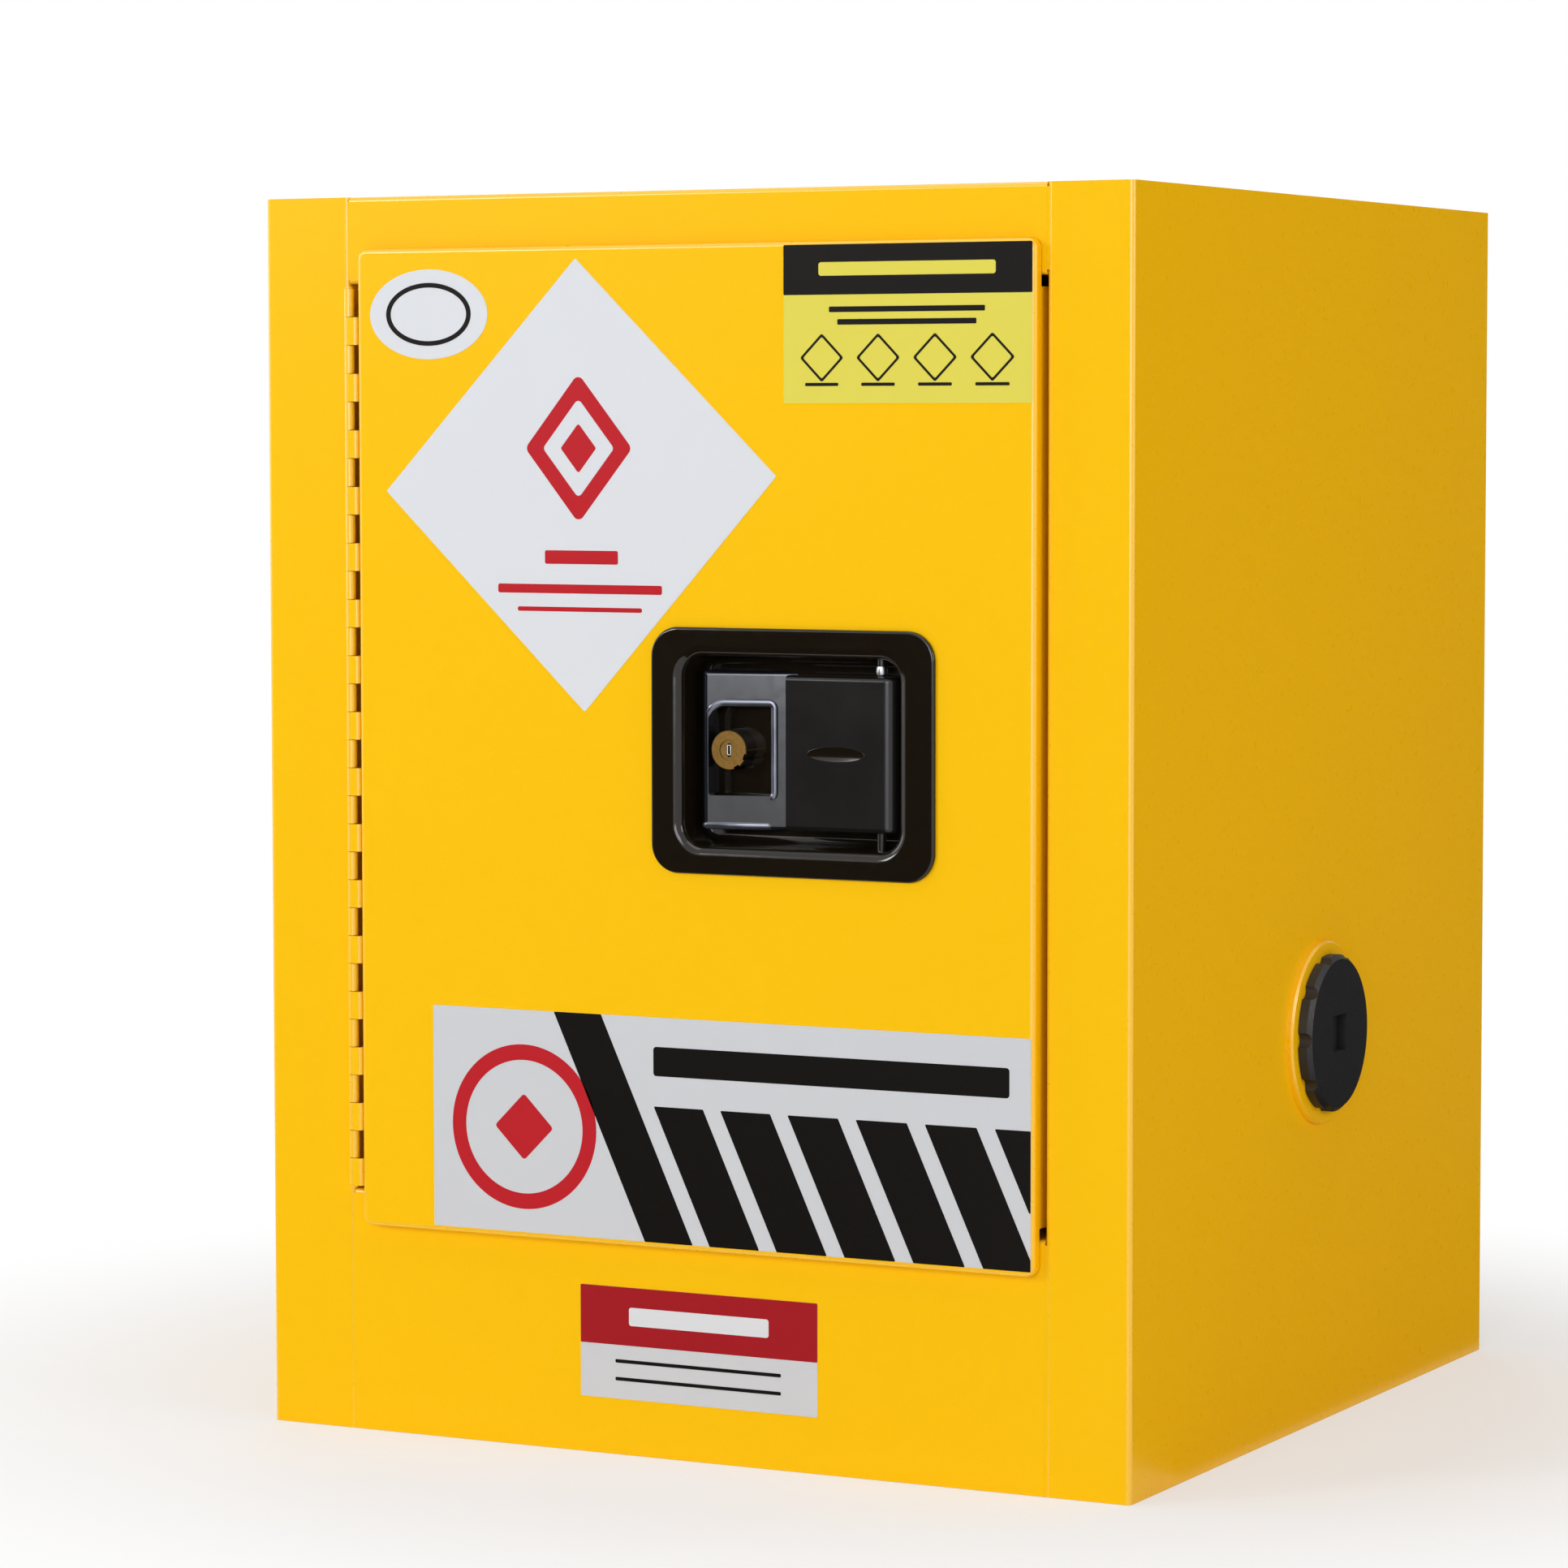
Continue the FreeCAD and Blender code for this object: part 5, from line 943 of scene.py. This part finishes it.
def flat_sheet(name, corners, finish):
    """Sheet with four corners in the scene, with its material."""
    mesh = bpy.data.meshes.new(name)
    mesh.from_pydata(corners, [], [(0, 1, 2, 3)])
    mesh.materials.append(finish)
    sheet = bpy.data.objects.new(name, mesh)
    bpy.context.scene.collection.objects.link(sheet)
    return sheet


def studio_floor():
    """Matt paper floor that keeps the shadow near the cabinet and runs into the white surroundings."""
    made, tree, shader, place = new_material("floor_paper", {"IOR": 1.4, "Roughness": 0.9,
                                                             "Specular IOR Level": 0.1})
    mottle(tree, shader, place, linear("#F3F3F3"), 0.4, 0.004)
    distance = add(tree, "ShaderNodeVectorMath", {"operation": "LENGTH"}, links={0: place})
    away = add(tree, "ShaderNodeMapRange", {"interpolation_type": "SMOOTHSTEP"},
               {"From Min": 0.28, "From Max": 0.64, "To Min": 0.45, "To Max": 1.0},
               {"Value": distance.outputs["Value"]})
    seen = seen_directly(tree)
    blend = add(tree, "ShaderNodeMath", {"operation": "MULTIPLY"}, links={0: away.outputs["Result"], 1: seen})
    white = add(tree, "ShaderNodeEmission", values={"Color": (1, 1, 1, 1), "Strength": 1.0})
    mixed = add(tree, "ShaderNodeMixShader",
                links={0: blend.outputs[0], 1: shader.outputs["BSDF"], 2: white.outputs["Emission"]})
    output = next(n for n in tree.nodes if n.type == "OUTPUT_MATERIAL")
    tree.links.new(mixed.outputs[0], output.inputs["Surface"])
    return made


def black_card(name, corners):
    """Black card outside the picture that only gloss sees, so that a face that mirrors it stays deep."""
    made, tree, shader, place = new_material(name, {"Roughness": 0.9, "Specular IOR Level": 0.0})
    mottle(tree, shader, place, linear("#0A0A0A"), 0.2, 0.1)
    card = flat_sheet(name, corners, made)
    card.visible_camera = card.visible_diffuse = card.visible_shadow = card.visible_transmission = False


def white_surroundings(scene, strength):
    """World that is white where it is seen or mirrored, and has the given strength as light."""
    world = bpy.data.worlds.new("studio")
    scene.world = world
    world.use_nodes = True
    tree = world.node_tree
    tree.nodes.clear()
    seen = seen_directly(tree)
    dim = add(tree, "ShaderNodeBackground", values={"Color": linear("#F6F8FF"), "Strength": strength})
    bright = add(tree, "ShaderNodeBackground", values={"Color": (1, 1, 1, 1), "Strength": 1.0})
    mixed = add(tree, "ShaderNodeMixShader", links={0: seen, 1: dim.outputs[0], 2: bright.outputs[0]})
    add(tree, "ShaderNodeOutputWorld", links={"Surface": mixed.outputs[0]})


def seen_directly(tree):
    """One for camera, gloss and glass rays, and nought for the light that falls on things."""
    path = add(tree, "ShaderNodeLightPath")
    either = add(tree, "ShaderNodeMath", {"operation": "MAXIMUM"},
                 links={0: path.outputs["Is Camera Ray"], 1: path.outputs["Is Glossy Ray"]})
    return add(tree, "ShaderNodeMath", {"operation": "MAXIMUM"},
               links={0: either.outputs[0], 1: path.outputs["Is Transmission Ray"]}).outputs[0]


def area_lamp(name, place, target, size, power, tint):
    """Soft lamp of a given width and height that faces a point."""
    data = bpy.data.lights.new(name, "AREA")
    data.shape = "RECTANGLE"
    data.size, data.size_y = size
    data.energy = power
    data.color = linear(tint)[:3]
    lamp = bpy.data.objects.new(name, data)
    bpy.context.scene.collection.objects.link(lamp)
    lamp.location = place
    lamp.rotation_euler = (Vector(target) - Vector(place)).to_track_quat("-Z", "Y").to_euler()
    lamp.visible_camera = False


def photo_camera(scene, lens):
    """Camera at the photograph's place: turned left of the front and a little down."""
    place = (1.120, FRAME_Y * MM - 2.062, 0.462)
    yaw, pitch, roll = (math.radians(a) for a in (-27.43, 3.94, -0.068))
    forward = Vector((math.sin(yaw) * math.cos(pitch), math.cos(yaw) * math.cos(pitch), -math.sin(pitch)))
    right = Vector((math.cos(yaw), -math.sin(yaw), 0))
    up = right.cross(forward)
    side = math.cos(roll) * right + math.sin(roll) * up
    top = math.cos(roll) * up - math.sin(roll) * right
    data = bpy.data.cameras.new("photo_camera")
    data.lens = lens
    data.sensor_width = 36.0
    data.clip_end = 50.0
    camera = bpy.data.objects.new("photo_camera", data)
    scene.collection.objects.link(camera)
    turn = Matrix((side, top, -forward)).transposed().to_4x4()
    camera.matrix_world = Matrix.Translation(place) @ turn
    scene.camera = camera


OPERATORS = (PaintedSheet, SeamFill, InnerSteel, HandleFinish, PaddleOval, WindowBead, RampRoll, LatchFinish,
             LockFinish, LozengePlate, OvalPlate, CornerLabel, StripedBand, SillLabel, EarthThread, Stage)


class CabinetPanel(bpy.types.Panel):
    """Lists the cabinet's pieces and their settings."""
    bl_idname = "VIEW3D_PT_cabinet"
    bl_label = "Cabinet"
    bl_space_type = "VIEW_3D"
    bl_region_type = "UI"
    bl_category = "Cabinet"

    def draw(self, context):
        for settings in (context.scene.cabinet_finish, context.scene.cabinet_stage):
            for key in settings.__annotations__:
                self.layout.prop(settings, key)
        for operator in OPERATORS:
            self.layout.operator(operator.bl_idname)


CLASSES = (FinishSettings, StageSettings) + OPERATORS + (CabinetPanel,)


def register():
    for item in CLASSES:
        bpy.utils.register_class(item)
    bpy.types.Scene.cabinet_finish = PointerProperty(type=FinishSettings)
    bpy.types.Scene.cabinet_stage = PointerProperty(type=StageSettings)


def unregister():
    del bpy.types.Scene.cabinet_stage
    del bpy.types.Scene.cabinet_finish
    for item in reversed(CLASSES):
        bpy.utils.unregister_class(item)


def main():
    """Builds every piece in order."""
    register()
    for operator in OPERATORS:
        group, action = operator.bl_idname.split(".")
        getattr(getattr(bpy.ops, group), action)()


if __name__ == "__main__":
    main()
